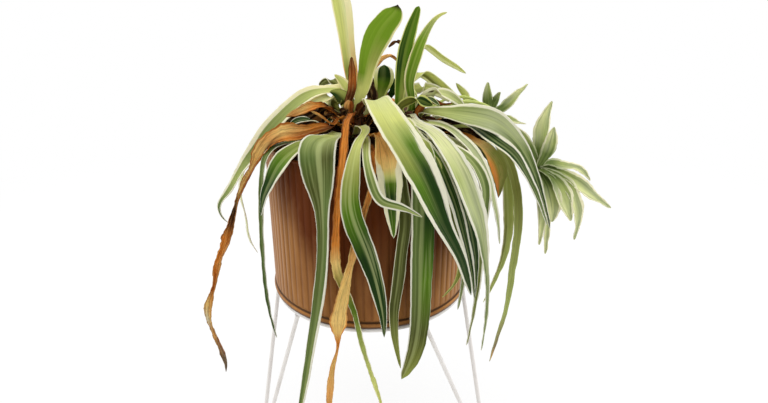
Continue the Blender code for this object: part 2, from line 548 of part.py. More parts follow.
def tube(name, points, diameter, finish, collection, cyclic=False, tilt=0.0):
    """A wire of eight sides along the points."""
    curve = bpy.data.curves.new(name, "CURVE")
    curve.dimensions = "3D"
    curve.twist_mode = "Z_UP"
    curve.bevel_depth = diameter / 2
    curve.bevel_resolution = 2
    curve.use_fill_caps = True
    spline = curve.splines.new("POLY")
    spline.points.add(len(points) - 1)
    for point, place in zip(spline.points, points):
        point.co = (*place, 1.0)
        point.tilt = tilt
    spline.use_cyclic_u = cyclic
    spline.use_smooth = True
    return add_object(name, curve, finish, collection)


def around(radius, azimuth, height):
    """The point at this radius, azimuth in degrees and height."""
    angle = math.radians(azimuth)
    return (radius * math.cos(angle), radius * math.sin(angle), height)


def ring_height():
    """The stand ring's middle: the pot's lip rests on it."""
    return SEAM_HEIGHT - LIP_DROP - GAP - WIRE / 2


def add_ring(collection):
    """The stand's ring, which carries the pot's lip."""
    count = 36
    points = [around(RING_RADIUS, 360 * i / count, ring_height()) for i in range(count)]
    return tube("stand_ring", points, WIRE, "white_wire", collection, cyclic=True)


def add_leg(side, azimuth, spread, reach, collection):
    """A hairpin leg: two rods down from the ring that meet in one tight bend on the floor.

    The wire is turned half a facet about itself, so that it stands on a flat facet, and the
    bend's lowest corners are cut square to the mean of the runs that meet there.
    """
    half_facet = math.pi / 8
    flat = math.radians(LEG_FLAT)
    half_turn = (math.pi / 2 - 0.75 * flat) / 2
    lowest = WIRE / 2 * math.cos(half_facet) * math.cos(half_turn)
    top = ring_height() - WIRE / 2 - LEG_TOP_GAP
    foot = np.array(around(reach, azimuth, lowest + FOOT_BEND * math.sin(flat)))
    aside = np.array(around(1.0, azimuth + 90, 0.0))
    bend = [
        foot + FOOT_BEND * (aside * math.cos(angle) - np.array([0, 0, math.sin(angle)]))
        for angle in (0, flat / 2, flat, math.pi - flat, math.pi - flat / 2, math.pi)
    ]
    points = [
        around(RING_RADIUS, azimuth + spread, top),
        *bend,
        around(RING_RADIUS, azimuth - spread, top),
    ]
    return tube(f"hairpin_leg_{side}", points, WIRE, "white_wire", collection, tilt=half_facet)


def plantlet_blades(plantlet):
    """The plantlet's blades, as leaves that start inside its heart."""
    return [
        Leaf(
            name="blade", finish="pale", crown=None, azimuth=facing, height=0, rise=0,
            facing=facing, knots=((*plantlet.heart, 0, BLADE_BASE), *knots))
        for facing, knots in plantlet.blades
    ]


def add_plantlet(plantlet, collection, cutters):
    """A plantlet, one solid: its blades joined to a small round heart."""
    name = f"plantlet_{plantlet.name}"
    bm = bmesh.new()
    bmesh.ops.create_icosphere(bm, subdivisions=1, radius=HEART_RADIUS * MM)
    bmesh.ops.translate(bm, verts=bm.verts, vec=[value * MM for value in plantlet.heart])
    mesh = bpy.data.meshes.new(name)
    bm.to_mesh(mesh)
    bm.free()
    mesh.shade_smooth()
    made = add_object(name, mesh, "pale", collection)
    for i, blade in enumerate(plantlet_blades(plantlet)):
        cutter = add_leaf(blade._replace(name=f"{name}_blade_{i}"), cutters)
        cutter.hide_render = True
        cutter.display_type = "WIRE"
        join = made.modifiers.new(f"blade_{i}", "BOOLEAN")
        join.operation = "UNION"
        join.object = cutter
    return made


def runner_points(plantlet):
    """The runner's route: from just off its crown to just off the plantlet's heart."""
    x, y = CROWNS[plantlet.crown]
    off_crown = np.array(around(CROWN_RADIUS + RUNNER_SEAT, plantlet.azimuth, plantlet.height))
    start = np.array([x, y, 0.0]) + off_crown
    heart = np.array(plantlet.heart, float)
    back = np.array(plantlet.runner[-1]) - heart
    end = heart + back / np.linalg.norm(back) * (HEART_RADIUS + LEAF_SEAT)
    knots = np.array([start, *plantlet.runner, end], float)
    return natural_spline(knots, samples=RUNNER_POINTS) * MM


def add_runner(plantlet, collection):
    """The arching runner that carries a plantlet."""
    points = runner_points(plantlet)
    return tube(f"runner_{plantlet.name}", points, RUNNER * MM, "pale", collection)


def main():
    for obj in list(bpy.data.objects):
        bpy.data.objects.remove(obj)
    collection = bpy.data.collections.new("wilting_spider_plant")
    cutters = bpy.data.collections.new("cutters")
    for made in (collection, cutters):
        bpy.context.scene.collection.children.link(made)
    add_pot_wall(collection)
    add_pot_base(collection)
    add_soil(collection)
    add_ring(collection)
    for side, (azimuth, spread, reach) in LEGS.items():
        add_leg(side, azimuth, spread, reach, collection)
    for side in CROWNS:
        add_crown(side, collection)
    for leaf in LEAVES:
        add_leaf(leaf, collection)
    for plantlet in PLANTLETS:
        add_plantlet(plantlet, collection, cutters)
        add_runner(plantlet, collection)


if __name__ == "__main__":
    main()
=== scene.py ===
"""The looks of a wilting striped spider plant in a ribbed metal pot on a hairpin stand.

Metres, +Z up, the front is -Y. Leaf routes are in millimetres from the foot of the pot's
axis, as in the part's source. Every piece is a surface of two parameters.
"""

import math
from collections import namedtuple

import bmesh
import bpy
import numpy as np
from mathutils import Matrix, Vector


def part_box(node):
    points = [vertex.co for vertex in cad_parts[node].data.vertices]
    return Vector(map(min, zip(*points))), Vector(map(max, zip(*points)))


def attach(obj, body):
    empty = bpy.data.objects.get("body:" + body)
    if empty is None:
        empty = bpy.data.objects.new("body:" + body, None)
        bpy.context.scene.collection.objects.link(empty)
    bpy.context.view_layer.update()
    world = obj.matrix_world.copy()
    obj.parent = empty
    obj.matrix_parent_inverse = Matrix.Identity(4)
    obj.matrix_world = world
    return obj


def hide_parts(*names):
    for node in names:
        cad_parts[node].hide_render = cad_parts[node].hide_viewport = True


bl_info = {
    "name": "Wilting Spider Plant",
    "version": (1, 0, 0),
    "blender": (4, 5, 0),
    "location": "3D View > Sidebar > Spider Plant",
    "description": "Builds the leaves, pot and stand of a wilting striped spider plant",
    "category": "Add Mesh",
}

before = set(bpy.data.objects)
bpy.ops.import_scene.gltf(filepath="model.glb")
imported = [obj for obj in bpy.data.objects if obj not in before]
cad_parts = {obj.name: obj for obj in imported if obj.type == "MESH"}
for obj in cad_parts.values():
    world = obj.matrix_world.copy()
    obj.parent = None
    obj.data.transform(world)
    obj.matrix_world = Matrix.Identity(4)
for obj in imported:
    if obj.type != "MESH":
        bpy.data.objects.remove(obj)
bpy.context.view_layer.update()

MM = 0.001
BODY = "root"
BASE_LOW, BASE_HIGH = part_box("pot_base")
WALL_LOW, WALL_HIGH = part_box("pot_wall")
RING_LOW, RING_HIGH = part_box("stand_ring")
SOIL_LOW, SOIL_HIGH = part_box("soil")
AXIS = np.array([(BASE_LOW.x + BASE_HIGH.x) / 2, (BASE_LOW.y + BASE_HIGH.y) / 2, 0.0])
LIP_RADIUS = (BASE_HIGH.x - BASE_LOW.x) / 2
SEAM_HEIGHT = BASE_HIGH.z - 0.6 * MM
WIRE = RING_HIGH.z - RING_LOW.z
RING_RADIUS = (RING_HIGH.x - RING_LOW.x - WIRE) / 2
RING_HEIGHT = (RING_HIGH.z + RING_LOW.z) / 2

# The pot's wall, at the middle of its ribs.
POT_RADIUS = 75 * MM
POT_WALL = 1.0 * MM

# Each leg's azimuth, the angle from there to either of its rods, and its foot's reach.
LEGS = {
    "left": (-155.5, 21.0, 95 * MM),
    "right": (-33.0, 25.0, 105 * MM),
    "back": (86.0, 23.0, 101 * MM),
}
FOOT_BEND = 5 * MM

# The plant, in millimetres. A blade's root runs a little into its crown and dips there.
CROWN_RADIUS = 11.0
CROWN_TOP = 263.0
CROWNS = {"left": (-12.0, 2.0), "right": (24.0, 6.0)}
SHEATHS = 3
SHEATH_PITCH = 14
SHEATH_STEP = 1.5
LEAF_SEAT = 0.75
LEAF_BASE = 6.0
COLLAR = 5.0
ROOT = 3.0
ROOT_DIP = 1.0
RUNNER = 2.5
BLADE_BASE = 4

# A blade's points: its rows crowd towards the tip, and to each side of its midrib there is
# a column for so much of the half width, within two bounds.
FEWEST_ROWS = 24
TIP_CROWDING = 1.15
COLUMN = 0.8
FEWEST_COLUMNS, MOST_COLUMNS = 4, 12

# A blade's shape. The first four are shares of its length, within which it turns to its
# facing, folds up, closes at the tip, and lets its waves set in. A pace is how many
# millimetres a wave takes for a radian. Pleats have so many radians to a millimetre, and
# dry folds so many to a half width.
FACING_SHARE = 0.25
FOLDING_SHARE = 0.2
TIP_SHARE = 0.025
CALM_SHARE = 0.06
TIP_HALF_WIDTH = 0.12
RAGGED_PACE = 5.0
RIPPLE_PACE = 9.0
CRUMPLE_PACE = 4.5
PLEAT = 0.05
PLEATS = 3.6
DRY_TWIST = 22.0
DRY_TWIST_PACE = 14.0
DRY_FOLD = 0.22
DRY_FOLDS = 4.2
DRY_FOLD_PACE = 11.0

# The stage. Lamps are a name, the setting that holds their power, their place and size.
CAMERA_PLACE = (-0.02112, -0.39384, 0.34929)
CAMERA_TILT = 90 - 22.389
SENSOR = 36.0
LAMP_AIM = np.array([0.0, 0.0, 0.2])
LAMPS = (
    ("lamp_top", "top", (0.0, 0.25, 1.25), 1.6),
    ("lamp_left", "side", (-1.15, 0.1, 0.55), 1.1),
    ("lamp_right", "side", (1.15, 0.1, 0.55), 1.1),
)

# The seeds of random shapes: each leaf has its own, this far from the last leaf's.
SEED_STEP = 20
EXTRA_SEED = 1500
CROWN_SEED, PLANTLET_SEED, MAT_SEED, SCRAP_SEED = 40, 60, 80, 90

# How a leaf looks. A run is text such as "0 lime, 3 moss": the number of a knot and the
# value there, blended in between. One value alone is for the whole leaf. tissue is the
# colour of the left half and shade of the right, edging that of the pale edges; left and
# right are where the pale edge begins, as a share of the half width; midrib is how pale
# the middle is and streaks how striped the rest; dry goes from 0, fresh, to 1, dead; curl
# is how far the blade rolls up, in degrees to a side; crumple is how far its surface
# heaves, in millimetres, and ragged how uneven its width is.
Look = namedtuple("Look", "tissue shade edging left right midrib streaks dry curl crumple ragged")
FRESH = Look(
    tissue="0 lime, 1 leaf_green, 3 deep_green, 9 leaf_green", shade=None,
    edging="0 cream, 5 ivory", left=0.8, right=0.8, midrib=0.4, streaks=0.4, dry=0, curl=0,
    crumple=0.25, ragged=0.03)
fresh = FRESH._replace
PALE = fresh(
    tissue="0 pale_green, 3 sage, 9 leaf_green", left=0.62, right=0.62, midrib=0.6, streaks=0.6)
pale = PALE._replace
DEAD = fresh(
    tissue="0 rust, 2 orange, 6 tan", edging="orange", left=0.9, right=0.9, midrib=0,
    streaks=0.5, dry=1, curl="0 35, 3 55", crumple=0.8, ragged=0.16)
dead = DEAD._replace
FINISH_LOOKS = {
    "green": FRESH,
    "olive": fresh(
        tissue="0 moss, 9 olive", edging="lime", left=0.9, right=0.9, midrib=0.2, streaks=0.3),
    "pale": PALE,
    "dead": DEAD,
    "brown": dead(tissue="0 bark, 1 rust", edging="bark"),
}
SPROUT = pale(
    tissue="0 grey_green, 0.6 mist, 1.5 pale_green, 3 mist",
    shade="0 grey_green, 0.7 sage, 1.6 mist, 3 mist", edging="0 mist, 1 cream", left=0.78,
    right=0.74, midrib=0.4, streaks=0.8, curl=12, crumple=0.9, ragged=0.06)

# Each leaf leaves its crown at an azimuth and a height, rising at an angle, and its upper
# face turns to the azimuth facing. A knot is x, y, z and width, and a roll in degrees where
# it has one. The soft blade is wider than its knots by a factor.
Leaf = namedtuple(
    "Leaf", "name finish crown azimuth height rise facing knots look wider", defaults=(None, 1.0))
LEAVES = [
    # Hanging over the front of the pot, from left to right.
    Leaf("leaf_front_left_broad", "green", "left", 238, 241, 35, -105, (
        (-22, -28, 247, 13), (-26, -52, 251, 20), (-29, -70, 249.5, 24), (-28, -79, 239, 22),
        (-27, -82, 222, 13), (-27, -82, 197, 8), (-31, -81, 157, 8), (-38, -80, 118, 6.5),
        (-49, -78, 61, 4), (-56, -76, 32, 1)), fresh(
        tissue="0 lime, 1 sage, 2.4 grey_green, 3.6 dark_olive, 7 grey_green, 9 grey_green",
        shade="0 pale_green, 1 sage, 2.5 dark_olive, 4 grey_green, 6 grey_green, 9 sage",
        edging="ivory", left=0.93, right="0 0.92, 4 0.9, 6 0.6, 9 0.5",
        midrib="0 0.9, 4 0.8, 6 0.2", streaks="0 0.9, 5 0.4")),
    Leaf("dead_strap_front", "dead", "left", 268, 251, 45, -95, (
        (-10, -26, 262, 5), (-12, -48, 263, 5), (-13, -68, 257, 4.5), (-14, -81, 244, 4.5),
        (-16, -84, 227, 4.5), (-19, -84, 197, 5), (-19, -83, 174, 6), (-11, -80.5, 148, 4),
        (-4, -81, 115, 3), (5, -84, 82, 2.5), (13, -85, 50, 1)), dead(
        tissue=(
            "0 rust, 2 orange, 4 orange, 5.2 orange, 5.8 straw, 6.5 moss, 7.2 leaf_green, 9 lime"),
        edging="0 bark, 5 rust, 6 straw, 7 cream", left="0 0.7, 6 0.9", right="0 0.75, 6 0.9",
        dry="0 1, 5.6 0.9, 7 0.1", curl="0 30, 5 50, 7 10"), wider=1.1),
    Leaf("leaf_front_centre", "green", "left", 286, 243, 40, -90, (
        (-5, -30, 254, 6), (-1, -50, 256, 5), (-5, -70, 253, 5), (-8, -86, 240, 9),
        (-9, -91, 222, 11), (-3, -92, 200, 12), (3.5, -92, 180, 10), (8, -92, 160, 7.5),
        (10.5, -92, 142, 4), (11, -91, 128, 1)), fresh(
        tissue="0 lime, 2 lime, 3.2 moss, 4.2 leaf_green, 5.6 deep_green",
        shade="0 pale_green, 2 lime, 3 moss, 4 leaf_green, 5.2 deep_green", left=0.9, right=0.9,
        midrib=0.8, streaks="0 0.4, 4 0.8"), wider=1.1),
    Leaf("dead_leaf_front_knotted", "dead", "left", 304, 231.5, 30, -95, (
        (0, -32, 242, 5), (4, -58, 246, 4), (5, -74, 247.5, 4), (4, -83, 236, 4),
        (-1, -84, 215, 4), (-7, -87, 192, 5.5), (-11, -87, 175, 6), (-16, -86, 154, 9),
        (-19, -87, 138, 10.5), (-20, -86, 128, 7), (-20, -86, 120, 3), (-23, -85, 104, 3),
        (-26, -84, 86, 5), (-28, -84, 66, 4), (-30, -84, 42, 1)), dead(
        tissue=(
            "0 rust, 3 orange, 5 tan, 6.5 straw, 9 straw, 10 orange, 11 straw, 12.4 tan, 14 tan"),
        edging="0 bark, 6 straw, 8.6 orange, 10 orange, 12 tan", left=0.85, right=0.85,
        dry="0 1, 5 1, 7 0.75, 9 0.8, 14 0.7", curl="0 40, 6 60, 8 20, 10 90, 12 40",
        crumple="0 0.6, 7 1.1, 10 0.5")),
    Leaf("leaf_front_twisted", "green", "left", 296, 236, 35, -80, (
        (-1, -40, 248, 5), (0, -66, 251, 5), (1, -85, 246, 5), (4, -95, 238, 6, 10),
        (10, -99, 228, 6, 20), (20, -100, 225, 4.5, 20), (33, -99, 218, 1, 20)), pale(
        tissue="0 lime, 1.5 sage, 3 grey_green, 6 sage", shade="0 lime, 2 sage, 4 grey_green",
        left=0.75, right=0.62)),
    Leaf("half_dead_leaf_front", "dead", "left", 308, 238, 35, -85, (
        (4, -30, 248, 7), (8, -56, 254, 9), (11, -72, 252.5, 13), (14, -84, 239, 15),
        (15, -87, 226, 12), (16, -86, 212, 8), (17, -84, 197, 1)), dead(
        tissue=(
            "0 orange, 1 tan, 2.3 tan, 2.8 straw, 3.1 lime, 3.4 leaf_green, 4 deep_green, "
            "6 leaf_green"),
        edging="0 tan, 2.4 straw, 2.8 cream", left="0 0.9, 2.5 0.9, 2.9 0.45, 5 0.55",
        right="0 0.9, 2.5 0.9, 2.9 0.5, 5 0.6", dry="0 1, 2.3 0.8, 3.2 0", curl="0 25, 3 20",
        crumple="0 0.8, 3 0.3", ragged=0.08)),
    Leaf("leaf_front_right_long", "green", "left", 318, 256, 45, -60, (
        (4, -20, 269, 15), (8.5, -42, 270, 20), (15.5, -64, 263, 23), (26.5, -85, 250, 24),
        (36.5, -94, 233, 20), (46.5, -94, 210, 12), (57, -87, 188, 8), (64.5, -78, 166, 6),
        (70, -70, 147, 1)), fresh(
        tissue="0 pale_green, 1.5 lime, 3 moss, 3.8 leaf_green, 5 deep_green, 8 deep_green",
        shade="0 pale_green, 1.8 lime, 2.7 leaf_green, 3.5 deep_green, 8 deep_green",
        left="0 0.84, 3 0.84, 5 0.68, 8 0.55", right="0 0.85, 2 0.82, 3 0.7, 5 0.68, 7 0.8",
        midrib="0 0.4, 3 0.1", streaks=0.35)),
    Leaf("leaf_front_olive", "olive", "right", 245, 238, 35, -80, (
        (17, -30, 245, 8), (18.5, -56, 245.5, 9), (19.5, -74, 247, 8), (21, -78.5, 232, 8),
        (24, -79, 210, 8), (22, -79, 186, 8), (20, -79, 164, 8), (17.5, -79, 142, 7),
        (18.5, -79, 118, 4.5), (22.5, -80, 94, 1)), fresh(
        tissue="0 dark_olive, 2 dark_olive, 7 dark_olive, 9 moss", edging="0 moss, 4 cream",
        left=0.93, right=0.9, midrib=0.3, streaks=0.5)),
    Leaf("leaf_front_right_broad", "green", "right", 272, 236, 35, -70, (
        (28, -32, 247, 9), (30, -56, 251, 13), (33, -71, 248, 16), (34, -77.5, 230, 16),
        (34.5, -79, 209, 16), (34.5, -79, 177, 16), (34.5, -79, 147, 15), (33.5, -79, 122, 14),
        (30, -81, 104, 12), (23, -84, 88, 4)), fresh(
        tissue="0 lime, 1.5 leaf_green, 3 grey_green, 5 grey_green, 7 dark_olive, 9 olive",
        shade=(
            "0 lime, 1.5 moss, 2.5 leaf_green, 4 deep_green, 5.5 leaf_green, 7 dark_olive, "
            "9 moss"),
        left="0 0.75, 3 0.85, 6 0.9", right=0.96, midrib=0.5, streaks="0 0.6, 4 0.5")),
    # Hanging over the right of the pot.
    Leaf("yellowing_leaf_right_curled", "pale", "right", 272, 230.5, 25, -55, (
        (29, -26, 238, 5), (36, -42, 242, 5), (43, -56, 243.5, 5), (48, -66, 238, 5),
        (52, -69, 222, 5), (58, -68, 194, 5), (62, -66, 168, 5), (59, -66, 155, 4),
        (51, -66, 143, 1)), pale(
        tissue="0 lime, 5 moss, 8 olive", edging="lime", left=0.85, right=0.85)),
    Leaf("leaf_right_narrow", "green", "right", 255, 247, 45, -55, (
        (25.2, -24, 256.9, 7), (31.2, -40, 252.2, 8), (38.8, -56, 246, 9), (44.5, -66, 239.5, 9),
        (49, -73, 230.8, 9), (54, -78, 218.8, 9), (59, -79, 203, 8), (64.2, -76, 184.6, 6),
        (69.5, -71, 162.6, 4), (73, -66, 142, 1)), fresh(
        tissue="0 lime, 2 leaf_green, 4 deep_green", left=0.5, right=0.7, streaks=0.3)),
    Leaf("leaf_right_dark", "green", "right", 276, 245, 40, -50, (
        (31, -20, 248.8, 6), (37.7, -34, 245.7, 8), (45, -46, 241, 9), (50.7, -56, 234.8, 10),
        (57, -62, 224.7, 10), (62.2, -66, 211, 10), (67, -67, 194.6, 9), (72, -65, 171.4, 6),
        (74, -62, 140, 1)), fresh(
        tissue="0 leaf_green, 2 deep_green", left=0.62, right=0.8, streaks=0.3)),
    Leaf("leaf_right_thin", "green", "right", 287, 240, 30, -55, (
        (34, -20, 245, 5), (45, -39, 246.5, 5), (52.5, -50.5, 245, 5), (61, -57, 234.5, 5),
        (63, -62, 210, 5), (65, -62, 182, 5), (65, -61, 153, 4), (63, -60, 129, 1)), pale(
        tissue="0 lime, 3 mist, 7 grey_green", left=0.7, right=0.6), wider=1.25),
    Leaf("leaf_right_broad", "pale", "right", 290, 253, 45, -55, (
        (29.6, -17, 256.5, 9), (40, -35, 252.8, 12), (50.3, -55, 245.8, 15), (58, -69, 234.6, 17),
        (64, -76, 220.7, 17), (70, -77, 205, 13), (75.7, -74, 182, 7), (81.9, -66, 141, 3.5),
        (82, -60, 94, 1)), pale(
        tissue="0 pale_green, 2 pale_green, 3.2 sage, 4.4 mist, 6.5 grey_green, 8 grey_green",
        shade="0 cream, 2 pale_green, 4 mist, 6 mist, 8 grey_green", edging="ivory", left=0.75,
        right="0 0.75, 3 0.7", streaks=1.0)),
    Leaf("leaf_right_slender", "green", "right", 305, 248, 40, -45, (
        (38, -12, 252.5, 8), (50, -18, 251.5, 9), (61, -30, 247.3, 9.5), (70.5, -42, 239, 10),
        (78, -50, 226, 8.5), (83, -55, 210.5, 6), (87, -55, 194.5, 3.5),
        (90, -54, 178, 1)), fresh(
        tissue="0 lime, 2 mist, 5 mist, 8 grey_green", left=0.5, right=0.6, streaks=0.8)),
    Leaf("leaf_right_low", "green", "right", 300, 235, 25, -50, (
        (38, -20, 240, 6), (53, -40, 243, 6), (67, -55, 237.5, 6), (75, -59, 224, 6),
        (76, -59, 202, 6), (76, -58, 175, 5), (76, -57, 150, 4), (75, -56, 126, 2.5),
        (72, -54, 94, 1)), pale(
        tissue="0 sage, 3 grey_green, 8 olive", left=0.75, right=0.7), wider=1.6),
    Leaf("leaf_right_arching_upper", "green", "right", 335, 252, 35, -50, (
        (38, -6, 258.5, 7, 10), (47, -8, 258.5, 10, 20), (61, -12, 258, 16, 30),
        (74.5, -17, 257, 19, 35), (86, -20, 254.5, 18, 35), (96.4, -22, 248, 14, 30),
        (105.8, -24, 238, 10.5, 20), (113.9, -25, 224.3, 8, 10), (121.9, -26, 205.8, 5.5),
        (128.7, -27, 187, 3), (132, -27, 177, 1)), pale(
        tissue="0 olive, 1 moss, 2 sage, 4 mist, 6 grey_green, 8 deep_green",
        shade="0 lime, 2 sage, 4 mist, 5.5 mist, 6.5 grey_green, 8 deep_green",
        left="0 0.95, 3 0.88, 6 0.8", right="0 0.75, 4 0.8", streaks="0 0.5, 3 0.8")),
    Leaf("leaf_right_arching_under", "green", "right", 322, 244, 30, -45, (
        (51, -3, 254.5, 6, 10), (64, -8, 252.5, 7, 10), (76.5, -17, 248.4, 9, 15),
        (87.5, -31, 243, 11, 15), (97, -37, 237, 10, 15), (104.7, -39, 227, 8, 5),
        (112.7, -40, 213.5, 6), (120, -42, 198, 4), (124.3, -43, 187, 1)), fresh(
        tissue="0 leaf_green, 1 deep_green, 4 deep_green, 8 grey_green", left=0.72, right=0.7,
        streaks=0.4)),
    Leaf("yellowed_leaf_right", "dead", "right", 328, 232, 25, -50, (
        (60, -8, 244, 5), (71, -15, 241.5, 9), (80, -24, 236.5, 14), (86.5, -27, 228, 16),
        (91, -28, 216, 12), (92, -29, 202, 1)), dead(
        tissue="0 orange, 1.5 straw, 3 orange, 5 rust",
        shade="0 rust, 1 orange, 1.7 straw, 2.6 moss, 5 olive",
        edging="0 rust, 1 orange, 1.8 moss, 5 olive", left=0.85, right=0.95, dry=0.6, curl=15,
        crumple=0.5, ragged=0.08)),
    Leaf("olive_leaf_right_hanging", "olive", "right", 358, 244, 30, -60, (
        (54, 4, 252, 9), (78, 4, 250, 10), (96, 4, 234, 11), (104, 5, 207, 11), (108, 6, 177, 11),
        (109, 6, 150, 9), (104, 5, 122, 6), (94, 4, 94, 1)), fresh(
        tissue="0 moss, 3 moss, 5 olive, 7 moss", shade="0 olive, 3 moss, 7 sage", edging="cream",
        left=0.9, right=0.9, midrib=0.3, streaks=0.5)),
    Leaf("olive_leaf_right_long", "olive", "right", 346, 239, 30, -60, (
        (56, -4, 246, 7), (80, -8, 246, 7), (98, -10, 228, 7), (108, -12, 201, 7),
        (112, -12, 169, 7), (111, -12, 134, 6), (109, -12, 97, 4), (104, -12, 68, 3),
        (100, -12, 46, 1)), fresh(
        tissue="0 moss, 3 olive, 6 sage, 7.3 ash, 8 tan", edging="sage", left=0.85, right=0.85,
        midrib=0.3, streaks=0.4, dry="0 0, 6 0.1, 8 0.8"), wider=1.2),
    Leaf("short_leaf_right_dark", "green", "right", 336, 258, 60, -70, (
        (38, 1, 265, 5), (43, -3, 267, 5), (50, -7, 263, 1)), fresh(
        tissue="deep_green", edging="pale_green", left=0.75, right=0.75)),
    Leaf("dead_tipped_leaf_right", "dead", "right", 4, 257, 60, -80, (
        (38, 6, 264.5, 4), (45, 6, 264, 5), (51.5, 5, 261.5, 3.5), (60, 4, 262, 1)), dead(
        tissue="0 moss, 1 bark, 3 rust", edging="bark")),
    # Falling over the left of the pot.
    Leaf("leaf_left_long", "green", "left", 122, 259, 70, -130, (
        (-21, 7, 270.5, 12, -10), (-30, 3.5, 271.2, 12.5, -18), (-39, 0, 270.4, 12.5, -22),
        (-51, -7, 264.5, 12.5, -24), (-62, -14, 255.5, 12.5, -26), (-71.2, -20, 246, 12, -26),
        (-78.1, -24, 237, 10.5, -24), (-84.9, -26, 228, 9, -18), (-92.7, -28, 216.5, 7, -8),
        (-101.4, -28, 203.5, 5.5), (-107, -28, 195, 4), (-106, -28, 187.5, 3),
        (-102, -28, 182, 1)), fresh(
        tissue="0 lime, 3 sage, 6 grey_green, 8 sage, 10 grey_green, 12 deep_green",
        edging="0 butter, 4 cream, 12 ivory", left="0 0.45, 9 0.6", right="0 0.6, 9 0.7",
        midrib=0.1, streaks=0.4)),
    Leaf("dead_leaf_left_short", "dead", "left", 190, 248, 35, -110, (
        (-28, -8, 261, 7, -18), (-35, -13, 264, 8.5, -25), (-43.5, -17, 262.5, 7, -25),
        (-50, -20, 260.4, 4.5, -20), (-56, -22, 258.5, 1)), dead(
        tissue="0 bark, 1 orange, 2 straw, 3 tan, 4 straw",
        shade="0 rust, 1.5 orange, 2.5 tan, 4 rust", edging="0 bark, 2 rust", curl="0 30, 2 35")),
    Leaf("short_leaf_left_dark", "green", "left", 214, 250, 40, -110, (
        (-30, -14, 250.5, 4, -20), (-37, -22, 255, 7, -20), (-44, -27, 257.5, 7, -20),
        (-49.5, -29, 256.5, 4, -15), (-53, -31, 254, 1, -10)), fresh(
        tissue="deep_green", left=0.9, right=0.7, streaks=0.1)),
    Leaf("dead_strip_left", "dead", "left", 236, 252, 45, -110, (
        (-24, -18, 252.5, 2.5, -20), (-29.7, -20, 256.2, 2.5, -20), (-35.1, -19, 259.8, 2.5, -20),
        (-39.4, -17, 261.4, 1, -10)), dead(
        tissue="0 rust, 1.5 tan, 3 straw", crumple=0.5)),
    Leaf("dead_leaf_left_long", "dead", "left", 210, 242, 35, -110, (
        (-27.4, -24, 252.7, 6.5, -25), (-37, -30, 251.5, 8.5, -30), (-46.4, -35, 250.8, 12, -30),
        (-55, -39, 250, 15, -25), (-62.6, -42, 247, 15, -15), (-69.3, -44, 240, 10.5, -5),
        (-76, -45, 230, 7), (-86, -46, 212, 4), (-92, -47, 195, 5), (-98.5, -48, 176, 8),
        (-106, -48, 159, 6.5), (-112, -48, 138, 4), (-118, -48, 120, 6), (-116, -48, 101, 3.5),
        (-111, -48, 83, 6), (-110, -48, 74, 3), (-111, -48, 65, 1)), dead(
        tissue=(
            "0 rust, 1 orange, 2 tan, 3 straw, 4 tan, 5 straw, 7 straw, 7.7 umber, 8.3 bark, "
            "8.8 orange, 10 orange, 11 rust, 11.7 straw, 12.4 cream, 13 tan, 14.5 ash, 16 ash"),
        shade=(
            "0 bark, 2 rust, 3 orange, 4 bark, 4.6 umber, 5.2 tan, 7 rust, 7.7 umber, 8.3 bark, "
            "8.8 rust, 10 tan, 11 orange, 12.4 straw, 13 rust, 14.5 ash, 16 umber"),
        edging="0 bark, 3 orange, 6 rust, 12 tan, 14 ash", left=0.88, right=0.8,
        curl="0 20, 3 30, 5 70, 7.5 100, 9 40, 11 80, 12 20, 14 70",
        crumple="0 0.7, 9 1.2, 14 0.6", ragged=0.2)),
    Leaf("leaf_left_curled", "green", "left", 224, 232, 30, -125, (
        (-32, -30, 242, 8), (-40, -46, 246, 10), (-50.6, -58, 241.5, 12.5),
        (-57.1, -60, 234, 11.5), (-62.3, -60, 224.6, 8), (-67.4, -58, 214, 5),
        (-71, -56, 200, 1)), fresh(
        tissue="0 lime, 1 moss, 2.5 leaf_green, 4 deep_green", left=0.9, right=0.7,
        streaks=0.4), wider=1.15),
    Leaf("leaf_left_thin", "green", "left", 205, 237, 25, -130, (
        (-40, -24, 243, 5), (-54, -40, 245, 5), (-64, -49.5, 241.5, 5), (-69, -52, 224, 5),
        (-72, -52, 192, 4.5), (-73, -52, 154, 4.5), (-72, -52, 124, 3), (-69, -50, 98, 1)), fresh(
        tissue="0 leaf_green, 2 grey_green, 7 deep_green", left=0.9, right=0.85)),
    Leaf("leaf_left_pale_behind", "pale", "left", 152, 244, 40, -150, (
        (-36, 16, 256, 7), (-54, 20, 257, 8), (-75, 15, 246, 8), (-90, 5, 222, 8),
        (-98, 0, 197, 7), (-96, 0, 172, 5), (-95, 0, 156, 3.5), (-90, 0, 143, 1)), pale(
        tissue="0 pale_green, 7 sage", left=0.45, right=0.5)),
    # Standing up from the crowns.
    Leaf("upright_leaf_pale", "pale", "left", 100, 259, 78, -90, (
        (-11.3, 9.5, 267.1, 7.5), (-11.9, 9.5, 275.8, 8.5), (-12.9, 9.5, 284.3, 9.5),
        (-14.2, 9.5, 294.8, 10), (-18, 10, 327, 13), (-23, 11, 350, 10),
        (-28, 11, 374, 1)), fresh(
        tissue="0 pale_green, 2 moss, 3.5 lime, 6 lime",
        shade="0 pale_green, 1 tan, 3 butter, 4 pale_green",
        edging="0 butter, 2 tan, 3.5 butter, 5 cream", left=0.85, right=0.35, midrib=0.1,
        streaks=0.3)),
    Leaf("upright_bract_brown", "brown", "left", 258, 259, 80, -90, (
        (-12, -12.5, 273, 6), (-11, -12.5, 282, 6.5), (-11, -11.5, 297, 1)), dead(
        tissue="0 bark, 1 rust, 2 bark", edging="umber")),
    Leaf("upright_leaf_broad", "green", "left", 292, 259, 75, -90, (
        (-4, -9, 275, 9), (-1, -8, 288, 12), (3, -7, 302, 16), (8, -7, 312, 18),
        (14, -7, 320, 16), (18.5, -7, 325.5, 11), (20, -7, 330, 1)), fresh(
